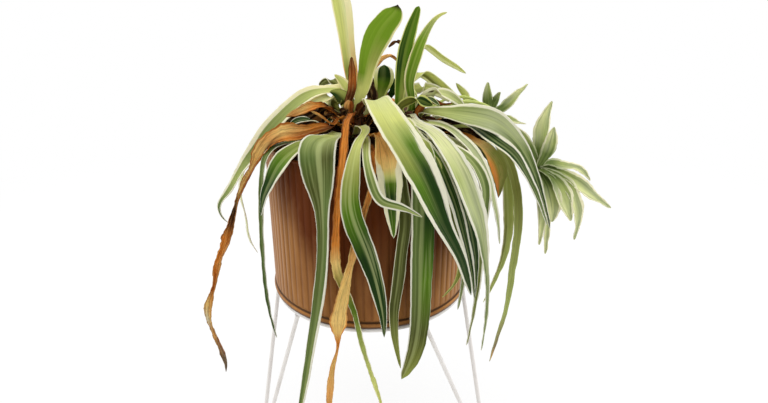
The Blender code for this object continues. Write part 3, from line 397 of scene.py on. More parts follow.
        tissue="0 lime, 0.8 fresh_green, 5.2 fresh_green, 5.8 umber",
        shade="0 lime, 1.5 moss, 3 fresh_green, 5.2 fresh_green, 5.8 umber",
        edging="0 butter, 5 butter, 5.8 umber", left=0.97, right=0.86, midrib=0.15,
        streaks=0.15)),
    Leaf("upright_leaf_folded", "green", "right", 258, 258, 75, -80, (
        (22, -6, 272, 7), (24, -6, 290, 10), (27.5, -5, 308, 9.5), (31, -5, 320, 7),
        (34, -5, 329, 3)), fresh(
        tissue="0 leaf_green, 1 deep_green, 4 leaf_green", shade="0 moss, 1 leaf_green",
        edging="lime", left=0.82, right=0.82, midrib=0.3, streaks=0.3)),
    Leaf("upright_leaf_curling", "green", "right", 300, 259, 75, -85, (
        (28.5, -6, 277, 7), (31.5, -6, 293, 8.5), (36.5, -5, 307, 7), (42, -4, 317, 4),
        (48, -3, 323, 2), (53, -3, 325, 1)), fresh(
        tissue="0 leaf_green, 2 fresh_green, 3.2 sage, 4 lime", edging="butter", left=0.8,
        right=0.85)),
    # Arching away behind.
    Leaf("short_leaf_dark", "green", "right", 165, 259, 75, -90, (
        (7.3, 5, 263.7, 6), (8.7, 5, 270.2, 9), (10.2, 4, 276.1, 13), (10.9, 4, 281.7, 14.5),
        (10.9, 4, 285.9, 12), (10.9, 5, 288.2, 7), (10.9, 5.5, 289.2, 1)), fresh(
        tissue="0 moss, 2 leaf_green, 3 deep_green", edging="0 lime, 2 lime, 4 cream", left=0.62,
        right=0.7, midrib=0.2, streaks=0.2)),
    Leaf("short_leaf_behind_left", "olive", "left", 100, 252, 60, -110, (
        (-18, 17, 266, 6), (-24, 21, 274, 6), (-31, 25, 275, 6), (-38, 29, 270, 3)), pale(
        tissue="0 olive, 3 dark_olive", left=0.85, right=0.85)),
    Leaf("dead_leaf_behind", "brown", "left", 62, 259, 70, -90, (
        (0, 24, 278, 4), (8, 33, 289, 4), (15, 36, 292, 4), (21, 40, 287, 1)), dead(
        tissue="0 rust, 1 tan", edging="rust")),
    Leaf("leaf_behind_right_thin", "green", "right", 78, 259, 70, -80, (
        (30.3, 28, 285, 5), (38.9, 40, 298.8, 5), (54.6, 50, 289, 5), (67.5, 56, 280.8, 4),
        (77.1, 60, 274.2, 1)), pale(
        tissue="pale_green", shade="lime", edging="pale_green", left=0.7, right=0.8,
        streaks=0.3)),
    Leaf("leaf_behind_right_arching", "green", "right", 34, 259, 65, -80, (
        (29.3, 18, 273.5, 7), (37, 25, 280.4, 8), (46.5, 30, 275.8, 8), (57.1, 34, 266.7, 8),
        (68.9, 38, 255, 6), (78.1, 41, 239.8, 1)), pale(
        tissue="0 moss, 2 olive, 5 moss", shade="0 lime, 2 lime", edging="pale_green", left=0.6,
        right=0.8)),
    Leaf("leaf_behind_right_pale", "pale", "right", 50, 251, 60, -80, (
        (27.4, 20, 263.4, 6), (34.1, 23, 268.8, 8), (44, 25, 269.2, 8), (53.3, 26, 265.2, 7),
        (60.6, 27, 258.2, 1)), pale(
        tissue="0 lime, 1 lime, 3 pale_green", left=0.7, right=0.7)),
    Leaf("leaf_behind_right_tip", "olive", "right", 82, 248, 55, -80, (
        (42.3, 38, 255, 5), (58.5, 42, 251.7, 5), (73.3, 45, 250.2, 6), (77, 46, 256.5, 6),
        (72.7, 46, 263.6, 5), (67.6, 46, 269.1, 1)), pale(
        tissue="0 moss, 3 lime, 5 moss", left=0.8, right=0.8)),
    Leaf("leaf_back_left", "green", "left", 122, 244, 35, 120, (
        (-28, 32, 253, 8), (-38, 52, 254, 10), (-46, 66, 248, 11), (-52, 76, 232, 11),
        (-54, 80, 197, 10), (-52, 80, 152, 7), (-48, 78, 107, 1))),
    Leaf("leaf_back_centre", "green", "left", 90, 240, 35, 95, (
        (-12, 34, 249, 8), (-12, 56, 251, 10), (-12, 72, 247, 12), (-12, 82, 230, 12),
        (-12, 86, 192, 11), (-10, 84, 147, 8), (-8, 80, 92, 1))),
    Leaf("dead_leaf_back", "dead", "right", 112, 240, 35, 85, (
        (20, 38, 250, 6), (16, 58, 252, 6), (14, 72, 248, 7), (14, 82, 232, 6), (16, 86, 194, 7),
        (20, 84, 152, 5), (17, 80, 112, 1))),
    Leaf("leaf_back_right", "green", "right", 66, 240, 35, 60, (
        (34, 34, 248, 8), (44, 52, 250, 10), (52, 64, 246, 11), (58, 72, 230, 11),
        (62, 75, 197, 10), (62, 73, 157, 7), (58, 70, 122, 1))),
]

# Each runner leaves its crown, arches over and ends at the heart of a plantlet. A blade is
# the azimuth that it faces and its knots out from the heart. All are wider by a factor.
Plantlet = namedtuple("Plantlet", "name heart crown azimuth height runner blades wider")
PLANTLETS = [
    Plantlet("right", (126, 0, 214), "right", 15, 246, (
        (50, 13, 255), (70, 15, 261), (92, 16, 255), (107, 15, 236), (116, 12, 224)), (
        (-70, ((127.9, 3, 227.3, 8), (128.8, 6, 243.3, 10), (132.8, 6, 263.4, 1))),
        (-80, ((131.3, -4, 226.4, 8), (132.1, -7, 237.9, 7), (132.1, -8, 247.8, 1))),
        (-110, ((117.8, -1, 229.3, 6), (111.2, 0, 238.9, 6), (103.9, 0, 247.2, 1))),
        (-60, ((140.8, 2, 210.3, 7), (153.8, 0, 203.8, 9), (168.3, -2, 193.2, 8),
            (184.3, -4, 183.3, 1))),
        (-50, ((139.8, 8, 213.9, 7), (151.7, 11, 211.2, 8), (162.4, 12, 208.5, 6),
            (171.5, 12, 199.4, 1))),
        (-60, ((140, -4, 208.5, 7), (150.7, -8, 197.2, 9), (156.7, -10, 181, 7),
            (157.3, -10, 159.1, 1))),
        (-60, ((136.1, -10, 208.3, 8), (142.3, -14, 196.4, 12), (150.3, -17, 178.3, 1))),
        (-80, ((131.3, -10, 205.2, 7), (134.5, -16, 194.8, 10), (135.9, -18, 178, 1))),
        (-90, ((127.5, -6, 202.1, 5), (130.6, -9, 180.5, 5), (131.1, -9, 154.3, 1))),
        (-70, ((132.6, 2, 202.3, 5), (138.1, 2, 174, 5), (139.9, 1, 141.2, 1)))), 1.4),
    Plantlet("behind", (95, 40, 247), "right", 40, 242, (
        (46, 28, 252), (62, 41, 258), (80, 45, 257)), (
        (-90, ((92.5, 39, 257, 7), (92, 42, 270.5, 1))),
        (-80, ((99, 40, 256.9, 5), (101.2, 38, 263.6, 1))),
        (-70, ((106.1, 45, 249.4, 6), (116.6, 49, 258.2, 6.5), (125.5, 50, 267.6, 1))),
        (-60, ((103.3, 37, 244.9, 5), (112.7, 35, 241.3, 5), (122.9, 34, 239.2, 1)))), 1.2),
]

# Leaves with no stiff stand-in: they fill the crowns between the others.
EXTRA_LEAVES = [
    Leaf("short_leaf_right_green", "green", "right", 262, 257, 55, -80, (
        (28, -10, 266, 9), (34.5, -11, 267.8, 9), (41, -11, 265.7, 6), (45, -10, 264, 1)), fresh(
        tissue="0 olive, 1 deep_green", edging="lime", left=0.8, right=0.7)),
    Leaf("short_leaf_left_pale", "pale", "left", 186, 257, 50, -110, (
        (-27, 0, 267, 9, -15), (-33.6, -4, 266.3, 9, -15), (-42.5, -8, 263, 5, -10),
        (-48.7, -10, 260.5, 1)), pale(
        tissue="pale_green", edging="butter")),
    Leaf("shaded_dead_leaf_left", "brown", "left", 196, 245, 35, -110, (
        (-32, 0, 254.5, 16), (-45, -3, 253, 17), (-57.5, -8, 249.5, 15), (-68, -14, 240, 9),
        (-75, -18, 230, 1)), dead(
        tissue="umber", edging="umber")),
    Leaf("shaded_dead_leaf_right", "brown", "right", 352, 241, 30, -60, (
        (52, 2, 247.4, 10), (62.7, 0, 243.4, 14), (72, -3, 241, 15), (80.5, -6, 234, 12),
        (87, -8, 222, 1)), dead(
        tissue="umber", edging="umber")),
    Leaf("dried_leaf_right", "brown", "right", 318, 249, 35, -60, (
        (40.6, -9, 253.5, 5.5), (48.3, -11, 250.4, 5.5), (56, -13, 246.5, 1)), dead(
        tissue="0 umber, 1 bark, 2 rust", edging="bark")),
    Leaf("dried_leaf_between", "brown", "left", 12, 255, 75, -90, (
        (3, 4, 268, 10), (2, 6, 274, 8), (2.2, 10, 281, 1)), dead(
        tissue="0 umber, 2 umber", edging="umber")),
    Leaf("dried_leaf_behind", "brown", "right", 172, 256, 70, -90, (
        (10, 7, 267.5, 7), (8, 8, 271, 6), (6, 10, 276, 1)), dead(
        tissue="0 bark, 1 rust, 2 tan", edging="bark")),
    Leaf("short_leaf_behind_dark", "green", "right", 140, 259, 78, -85, (
        (17.5, 14, 269, 5), (17.5, 15, 274, 4.5), (17.5, 16, 279, 1)), fresh(
        tissue="deep_green", edging="deep_green", streaks=0.1)),
    Leaf("dead_tip_upright", "brown", "right", 100, 259, 80, -85, (
        (26, 6, 278, 3), (26, 4, 293, 3), (22.5, 3, 304, 3), (18, 1, 305, 2.5),
        (14, 0, 302, 1)), dead(
        tissue="bark", edging="umber")),
    Leaf("short_leaf_left_olive", "olive", "left", 205, 259, 70, -100, (
        (-14.5, -10, 265.5, 11), (-18, -9, 269.3, 10), (-22.5, -7, 272, 6),
        (-27, -6, 272.5, 1)), fresh(
        tissue="0 dark_olive, 2 deep_green", shade="moss", edging="olive", left=0.9, right=0.9)),
    Leaf("short_leaf_left_tip", "pale", "left", 170, 259, 70, -95, (
        (-13.2, -2, 270.8, 7), (-16.3, 0, 275.4, 7.5), (-19.9, 2, 279.3, 5.5),
        (-24.1, 3, 282.9, 1)), pale(
        tissue="lime", edging="butter")),
    Leaf("short_leaf_right_pale", "pale", "right", 20, 257, 50, -70, (
        (40, 10, 264, 8), (50, 12, 268, 9), (62, 13, 264, 8), (72, 13, 256, 1))),
    Leaf("short_leaf_right_low", "pale", "right", 310, 240, 20, -60, (
        (42, -14, 244, 8), (54, -26, 244, 9), (66, -36, 238, 8), (74, -42, 226, 6),
        (78, -44, 206, 1))),
]

# Scraps of dead leaf on the soil: how many, the ranges of their distance from the pot's axis
# and of the step between two knots, the widths at their knots, and how far out they may end.
SCRAPS = 46
SCRAP_PLACES = (14, 66)
SCRAP_STEPS = (5, 9)
SCRAP_WIDTHS = (2.5, 5.0, 4.0, 1.0)
SCRAP_REACH = 71

# Mats of dead leaves and dried sheaths round a crown: ranges of azimuth, height, length,
# rise, droop for each square millimetre of run, and width, and the colours to draw from.
Mat = namedtuple("Mat", "name crown count azimuths heights lengths rises droops widths colours")
DARK = ("umber", "umber", "bark")
# The shares of length and width at a mat blade's knots, how far it veers, in degrees, and
# the run past which it rises at a fifth of its slope.
MAT_TAPER = ((0.35, 1.0), (0.7, 0.85), (1.0, 0.3))
MAT_VEER = 14
MAT_BEND = 12.0
MATS = [
    Mat("dead_leaf_mat_left", "left", 26, (148, 232), (234, 245), (18, 40), (8, 20),
        (0.002, 0.006), (5, 9), DARK),
    Mat("dead_leaf_mat_right", "right", 24, (-60, 20), (232, 242), (20, 46), (4, 20),
        (0.002, 0.005), (5, 9), DARK),
    Mat("dead_leaf_mat_front", "left", 16, (250, 330), (230, 240), (12, 34), (4, 20),
        (0.003, 0.008), (5, 8), DARK),
    Mat("dead_leaf_mat_back", "right", 16, (50, 170), (232, 246), (16, 40), (5, 25),
        (0.003, 0.008), (5, 9), DARK),
    Mat("dried_sheaths_left", "left", 34, (0, 360), (238, 256), (2, 9), (20, 60),
        (0.01, 0.03), (4, 8), ("bark", "rust", "umber", "orange", "tan")),
    Mat("dried_sheaths_right", "right", 34, (0, 360), (238, 256), (2, 9), (20, 60),
        (0.01, 0.03), (4, 8), ("bark", "umber", "umber", "rust")),
]


def srgb(red, green, blue):
    """The linear colour of three values from 0 to 255."""
    share = np.array([red, green, blue]) / 255
    linear = np.where(share <= 0.04045, share / 12.92, ((share + 0.055) / 1.055) ** 2.4)
    return tuple(float(value) for value in linear)


def colour(name, note, *rgb):
    """A colour property."""
    return bpy.props.FloatVectorProperty(
        name=name, description=note, subtype="COLOR", size=3, min=0, max=1, default=srgb(*rgb))


def length(name, note, value):
    """A length property, in metres."""
    return bpy.props.FloatProperty(name=name, description=note, unit="LENGTH", default=value)


def factor(name, note, value):
    """A property between 0 and 1."""
    return bpy.props.FloatProperty(
        name=name, description=note, subtype="FACTOR", min=0, max=1, default=value)


def number(name, note, value):
    """A plain number property."""
    return bpy.props.FloatProperty(name=name, description=note, default=value)


class LeafColours(bpy.types.PropertyGroup):
    """The colours of the leaves."""

    cream: colour("Cream", "Pale edges near the crown", 250, 246, 212)
    butter: colour("Butter", "Pale edges that have yellowed", 248, 240, 182)
    ivory: colour("Ivory", "Pale edges of the hanging leaves", 240, 238, 218)
    lime: colour("Lime", "Young tissue near the crown", 220, 224, 132)
    pale_green: colour("Pale green", "Tissue that has lost its colour", 234, 236, 176)
    sage: colour("Sage", "Pale green of soft, hanging leaves", 172, 184, 106)
    mist: colour("Mist", "Greyed green of limp leaves", 182, 190, 142)
    moss: colour("Moss", "Yellowed green", 158, 166, 78)
    grey_green: colour("Grey green", "Green of soft leaves in the shade", 104, 124, 60)
    leaf_green: colour("Leaf green", "Healthy green", 88, 126, 12)
    deep_green: colour("Deep green", "Darkest green", 27, 60, 0)
    fresh_green: colour("Fresh green", "Bright green of upright leaves", 124, 160, 32)
    olive: colour("Olive", "Leaves that are going over", 118, 120, 52)
    dark_olive: colour("Dark olive", "The darkest of them", 84, 90, 34)
    straw: colour("Straw", "Dried yellow", 255, 222, 138)
    tan: colour("Tan", "Dried pale brown", 248, 192, 112)
    orange: colour("Orange", "Dried orange", 242, 156, 62)
    rust: colour("Rust", "Dried red-brown", 190, 106, 38)
    bark: colour("Bark", "Dead brown", 108, 58, 22)
    umber: colour("Umber", "Darkest dead brown", 40, 22, 11)
    ash: colour("Ash", "Dead tissue that has gone grey", 150, 132, 108)


class LeafShape(bpy.types.PropertyGroup):
    """Sizes that all leaves share."""

    thickness: length("Thickness", "Thickness of a leaf", 0.45 * MM)
    station: length("Station", "Distance between two rows of points along a leaf", 1.6 * MM)
    gutter: bpy.props.FloatProperty(
        name="Gutter", description="How far each half of a leaf folds up", subtype="ANGLE",
        default=math.radians(14))
    ripple: length("Ripple", "How far the edges of a fresh leaf wave", 0.45 * MM)


class PotSettings(bpy.types.PropertyGroup):
    """The pot."""

    ribs: bpy.props.IntProperty(name="Ribs", description="Upright ribs round the wall", default=80)
    rib_depth: length("Rib depth", "Depth of the grooves between the ribs", 0.6 * MM)
    bead: length("Bead", "How far the rolled rim stands out", 1.2 * MM)
    metal: colour("Metal", "Copper-brown lacquer", 172, 118, 56)
    tarnish: colour("Tarnish", "Darker patches and grooves", 92, 42, 6)
    roughness: factor("Roughness", "How dull the metal is", 0.42)


class StandSettings(bpy.types.PropertyGroup):
    """The wire stand."""

    paint: colour("Paint", "White powder coat", 226, 222, 218)
    weld: length("Weld", "How far a weld swells the wire", 0.8 * MM)


class SoilSettings(bpy.types.PropertyGroup):
    """The soil."""

    earth: colour("Earth", "Dry crumbs", 46, 31, 20)
    damp: colour("Damp", "Dark hollows", 12, 8, 5)
    lumps: length("Lumps", "How far the surface heaves", 1.6 * MM)


class StageSettings(bpy.types.PropertyGroup):
    """The floor, lamps and camera."""

    floor_size: length("Floor", "Side of the square floor", 40.0)
    floor_colour: colour("Floor colour", "Pale floor", 250, 250, 250)
    ambient: number("Ambient", "Light from all round", 0.86)
    top: number("Top lamp", "Watts", 7.0)
    side: number("Side lamps", "Watts each", 4.0)
    lens: number("Lens", "Focal length in millimetres", 26.0)


GROUPS = {
    "plant_colours": LeafColours,
    "plant_shape": LeafShape,
    "plant_pot": PotSettings,
    "plant_stand": StandSettings,
    "plant_soil": SoilSettings,
    "plant_stage": StageSettings,
}


# Surfaces.


def smoothstep(t):
    """Rises from 0 to 1 as t does, level at both ends: t squared times (3 less 2t)."""
    t = np.clip(t, 0.0, 1.0)
    return t * t * (3.0 - 2.0 * t)


def wander(seed, *axes, octaves=4):
    """A smooth random wave from about -1 to 1 over the axes.

    Each octave adds a sine of the axes, each times its own pace, at twice the last
    octave's pace and two thirds of its height.
    """
    draw = np.random.default_rng(seed)
    total = 0.0
    for octave in range(octaves):
        pace = draw.uniform(0.7, 1.3, len(axes)) * draw.choice([-1, 1], len(axes)) * 2**octave
        phase = draw.uniform(0, 2 * math.pi)
        wave = np.sin(sum(k * axis for k, axis in zip(pace, axes)) + phase)
        total = total + wave * (2 / 3) ** octave
    return total / 2.0


def circle(count):
    """Angles all the way round, without the last, which is the first again."""
    return np.linspace(0, 2 * math.pi, count, endpoint=False)


def outward(angle):
    """The level direction at an angle in radians."""
    return np.array([math.cos(angle), math.sin(angle)])


def run_along(route):
    """How far along a route each of its places is."""
    return np.concatenate([[0.0], np.cumsum(np.linalg.norm(np.diff(route, axis=0), axis=1))])


def unit(vectors):
    """The vectors, each divided by its own length."""
    return vectors / np.linalg.norm(vectors, axis=-1, keepdims=True)


def surface(name, grids, material, node=None, wrap=False, loop=False):
    """A piece made of grids of places: rows run along each and columns across or round it.

    A grid is its places, its UV map's two lengths for each place, with a column and a row
    more where the grid is joined, and further attributes, one value or colour a place.
    wrap joins the last column to the first and loop the last row to the first. Rows whose
    places are all one point are closed into a pole.
    """
    mesh = bpy.data.meshes.new(name)
    index, corners_flat, poles = [], [], []
    count = 0
    for places, flat, _ in grids:
        rows, columns = places.shape[:2]
        r, c = np.meshgrid(
            np.arange(rows if loop else rows - 1), np.arange(columns if wrap else columns - 1),
            indexing="ij")
        corners = [(r, c), (r + 1, c), (r + 1, c + 1), (r, c + 1)]
        corners = np.stack(corners, axis=-1).reshape(2, -1)
        index.append(count + (corners[0] % rows) * columns + corners[1] % columns)
        corners_flat.append(flat[corners[0], corners[1]])
        ends = [i for i in (0, rows - 1) if np.ptp(places[i], axis=0).max() < 1e-9]
        poles += [count + i * columns + j for i in ends for j in range(columns)]
        count += rows * columns
    index = np.concatenate(index)
    mesh.vertices.add(count)
    places = np.concatenate([(grid[0] + AXIS).reshape(-1, 3) for grid in grids])
    mesh.vertices.foreach_set("co", places.astype(np.float32).ravel())
    mesh.loops.add(index.size)
    mesh.loops.foreach_set("vertex_index", index.astype(np.int32))
    mesh.polygons.add(index.size // 4)
    mesh.polygons.foreach_set("loop_start", np.arange(0, index.size, 4, dtype=np.int32))
    mesh.update(calc_edges=True)
    mesh.uv_layers.new(name="surface").uv.foreach_set(
        "vector", np.concatenate(corners_flat).astype(np.float32).ravel())
    for title, first in grids[0][2].items():
        kind, key = ("FLOAT_COLOR", "color") if first.ndim == 3 else ("FLOAT", "value")
        values = np.concatenate([grid[2][title].ravel() for grid in grids])
        made = mesh.attributes.new(title, kind, "POINT")
        made.data.foreach_set(key, values.astype(np.float32))
    if poles:
        bm = bmesh.new()
        bm.from_mesh(mesh)
        bm.verts.ensure_lookup_table()
        bmesh.ops.remove_doubles(bm, verts=[bm.verts[i] for i in poles], dist=1e-6)
        bm.to_mesh(mesh)
        bm.free()
    mesh.shade_smooth()
    mesh.materials.append(material)
    return piece(name, mesh, node)


def shell(name, places, material, node, flat=None, loop=False, points=None):
    """A piece made of one grid that is joined round, with the UV map of a turned surface."""
    flat = flat_turned(places, loop) if flat is None else flat
    surface(name, [(places, flat, points or {})], material, node, wrap=True, loop=loop)


def piece(name, mesh, node=None):
    """An object of the mesh that rides on the plant's one body and may stand for a CAD node."""
    made = bpy.data.objects.new(name, mesh)
    bpy.context.scene.collection.objects.link(made)
    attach(made, BODY)
    if node:
        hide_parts(node)
    return made


def turned(profile, angles, wave=0.0):
    """Places of a profile carried round the upright axis: (radius + wave) at each angle.

    The profile is (radius, height) pairs that run down the outer side.
    """
    radius, height = np.array(profile).T[:, :, None]
    reach = radius + wave
    return np.stack(
        np.broadcast_arrays(reach * np.cos(angles), reach * np.sin(angles), height), axis=-1)


def flat_turned(places, wrap_rows=False):
    """UV for a turned surface: the angle's share times the girth, and the run of the profile."""
    rows, columns = places.shape[:2]
    ring = places[:, 0]
    if wrap_rows:
        ring = np.concatenate([ring, ring[:1]])
    run = run_along(ring)
    girth = 2 * math.pi * np.linalg.norm(places[..., :2], axis=-1).max()
    around = np.linspace(0.0, girth, columns + 1)
    return np.stack(np.broadcast_arrays(around[None, :], run[:, None]), axis=-1) * 10


def rounded(profile, steps=6):
    """The profile with each corner between two sides cut to a smooth curve of quadratic arcs."""
    points = np.array(profile, float)
    middles = (points[:-1] + points[1:]) / 2
    t = np.linspace(0, 1, steps, endpoint=False)[:, None]
    arcs = [
        (1 - t) ** 2 * start + 2 * t * (1 - t) * corner + t**2 * end
        for start, corner, end in zip(middles[:-1], points[1:-1], middles[1:])
    ]
    return np.concatenate([points[:1], *arcs, middles[-1:], points[-1:]])


def tube(route, radius, sides):
    """Places round a route: the route + radius · (cosine · side + sine · other side).

    The first side is level and square to the route. The ends close in poles.
    """
    along = unit(np.gradient(route, axis=0))
    side = np.cross(along, [0.0, 0.0, 1.0])
    steep = np.linalg.norm(side, axis=1) < 0.05
    side[steep] = np.cross(along[steep], [0.0, 1.0, 0.0])
    side = unit(side)
    other = np.cross(side, along)
    angle = circle(sides)[None, :, None]
    radius = np.broadcast_to(radius, len(route))[:, None, None]
    ring = side[:, None] * np.cos(angle) + other[:, None] * np.sin(angle)
    places = route[:, None] + radius * ring
    caps = [np.repeat(end[None, None], sides, axis=1) for end in (route[0], route[-1])]
    return np.concatenate([caps[0], places, caps[1]])


# Materials.


class Tree:
    """A node tree, with short ways to add to it."""

    def __init__(self, tree):
        self.nodes, self.links = tree.nodes, tree.links

    def put(self, value, socket):
        """Links a socket, or writes a constant on the input itself."""
        if isinstance(value, bpy.types.NodeSocket):
            self.links.new(value, socket)
        elif socket.type == "RGBA":
            socket.default_value = (*value, 1.0)
        else:
            socket.default_value = value

    def add(self, kind, out=0, inputs=None, **settings):
        """One output of a new node with these inputs and settings."""
        node = self.nodes.new("ShaderNode" + kind)
        for key, value in settings.items():
            setattr(node, key, value)
        for key, value in (inputs or {}).items():
            self.put(value, node.inputs[key])
        return node.outputs[out]

    def math(self, operation, *values, clamp=False):
        """One of the operations on single values."""
        inputs = dict(enumerate(values))
        return self.add("Math", inputs=inputs, operation=operation, use_clamp=clamp)

    def times(self, *values):
        return self.math("MULTIPLY", *values)

    def plus(self, *values):
        return self.math("ADD", *values)

    def less(self, *values):
        return self.math("SUBTRACT", *values)

    def most(self, *values):
        return self.math("MAXIMUM", *values)

    def size(self, value):
        """The value without its sign."""
        return self.math("ABSOLUTE", value)

    def fit(self, value, scale, offset, clamp=False):
        """The value times a scale, plus an offset."""
        return self.math("MULTIPLY_ADD", value, scale, offset, clamp=clamp)

    def scaled(self, vector, *scale):
        """The vector with each axis times a number."""
        return self.add("VectorMath", inputs={0: vector, 1: scale}, operation="MULTIPLY")

    def noise(self, vector, detail=2.0, roughness=0.5):
        """Noise from 0 to 1, about one lump for each unit of the vector."""
        inputs = {"Vector": vector, "Scale": 1.0, "Detail": detail, "Roughness": roughness}
        return self.add("TexNoise", inputs=inputs)

    def step(self, value, low, high, start=0.0, end=1.0):
        """A smooth step from start to end as the value goes from low to high."""
        inputs = dict(enumerate((value, low, high, start, end)))
        return self.add("MapRange", inputs=inputs, interpolation_type="SMOOTHSTEP")

    def mix(self, share, first, second, blend="MIX"):
        """A mix of two colours."""
        inputs = {0: share, 6: first, 7: second}
        return self.add("Mix", out=2, inputs=inputs, data_type="RGBA", blend_type=blend)

    def tint(self, first, second):
        """Two colours, each channel times the other's."""
        return self.mix(1.0, first, second, "MULTIPLY")

    def grey(self, value):
        """A colour with the value in each channel."""
        return self.add("CombineColor", inputs={0: value, 1: value, 2: value})

    def attribute(self, name, out="Fac"):
        """An attribute of the surface, as a value or a colour."""
        return self.add("Attribute", out=out, attribute_name=name)

    def bump(self, height, distance, strength=1.0):
        """A normal bent by a height."""
        inputs = {"Strength": strength, "Distance": distance, "Height": height}
        return self.add("Bump", inputs=inputs)

    def end(self, share, first, second, output):
        """Ends the tree in a mix of two shaders."""
        both = self.add("MixShader", inputs={0: share, 1: first, 2: second})
        self.links.new(both, self.nodes[output].inputs["Surface"])


class Finish(Tree):
    """A material and its node tree."""

    def __init__(self, name):
        self.material = bpy.data.materials.new(name)
        self.material.use_nodes = True
        super().__init__(self.material.node_tree)
        self.shader = self.nodes["Principled BSDF"]

    def finish(self, **inputs):
        """Sets the shader's own inputs."""
        for key, value in inputs.items():
            title = key.replace("_", " ").title().replace("Ior", "IOR")
            self.put(value, self.shader.inputs[title])
        return self.material


def cached(build):
    """The material of a function that is made once and found by its name after that."""

    def found():
        return bpy.data.materials.get(build.__name__) or build()

    return found


@cached
def striped_tissue():
    """Leaf tissue: a green body between pale edges, streaked along its veins.

    A place is on the pale edge where its share of the half width, shifted a little by
    streaks that run along the leaf, passes the edge's start. The dry share adds fibres,
    blotches and specks.
    """
    f = Finish("striped_tissue")
    flat = f.add("UVMap", uv_map="surface")
    aside, edge, midrib, streaks, dry, crease = (
        f.attribute(name) for name in ("aside", "edge", "midrib", "streaks", "dry", "crease"))
    tissue, edging = (f.attribute(name, "Color") for name in ("tissue", "edging"))
    veins = f.noise(f.scaled(flat, 19.0, 0.35, 1.0), 3.0, 0.6)
    bands = f.noise(f.scaled(flat, 5.5, 0.16, 1.0), 1.0)
    mottle = f.noise(f.scaled(flat, 5.0, 2.2, 1.0), 4.0, 0.6)
    specks = f.noise(f.scaled(flat, 16.0, 7.0, 1.0), 3.0, 0.7)
    off_middle = f.size(aside)

    # Light and dark streaks in the green, and a pale line along the middle.
    light = f.mix(0.5, tissue, f.tint(edging, (0.78, 0.88, 0.45)))
    dark = f.tint(tissue, (0.35, 0.42, 0.25))
    body = f.tint(tissue, f.grey(f.fit(veins, 0.5, 0.76)))
    body = f.mix(f.times(f.step(bands, 0.5, 0.72, end=0.75), streaks), body, light)
    body = f.mix(f.times(f.step(bands, 0.5, 0.28, end=0.7), streaks), body, dark)
    from_line = f.size(f.fit(bands, 0.3, f.plus(aside, -0.15)))
    body = f.mix(f.times(f.step(from_line, 0.26, 0.05), midrib), body, light)

    # The pale edges.
    reach = f.plus(off_middle, f.fit(bands, 0.3, -0.15))
    reach = f.plus(reach, f.fit(veins, 0.14, -0.07))
    rim = f.tint(edging, f.grey(f.fit(veins, 0.12, 0.94)))
    body = f.mix(f.step(f.less(reach, edge), -0.05, 0.05), body, rim)

    # Dead tissue: dark creases between pale ridges, fibres, blotches, specks, scorched edges.
    body = f.mix(f.step(crease, 0.4, 1.0, end=0.65), body, f.tint(body, (0.42, 0.26, 0.16)))
    ridge = f.times(f.step(crease, 0.3, 0.0, end=0.45), f.times(dry, f.step(mottle, 0.35, 0.6)))
    body = f.mix(ridge, body, f.mix(0.6, body, (0.9, 0.6, 0.24)))
    for share, strength, brown in (
            (f.step(veins, 0.6, 0.32, end=0.5), 0.6, (0.12, 0.035, 0.008)),
            (f.step(mottle, 0.52, 0.68, end=0.5), 0.55, (0.2, 0.06, 0.012)),
            (f.step(specks, 0.68, 0.73, end=0.75), 1.0, (0.035, 0.016, 0.006)),
            (f.step(off_middle, 0.8, 1.0, end=0.4), 0.6, (0.08, 0.025, 0.006))):
        body = f.mix(f.times(share, dry), body, f.mix(strength, body, brown))

    height = f.fit(veins, 0.7, f.times(bands, 0.5))
    height = f.plus(height, f.times(mottle, f.fit(dry, 2.2, 0.15)))
    normal = f.bump(height, 0.35 * MM, 0.8)
    rough = f.fit(dry, 0.3, f.fit(veins, 0.16, 0.42), clamp=True)
    f.finish(base_color=body, roughness=rough, specular_ior_level=0.15, normal=normal)
    through = f.add("BsdfTranslucent", inputs={"Color": body, "Normal": normal})
    f.end(0.25, f.shader.outputs[0], through, "Material Output")
    return f.material


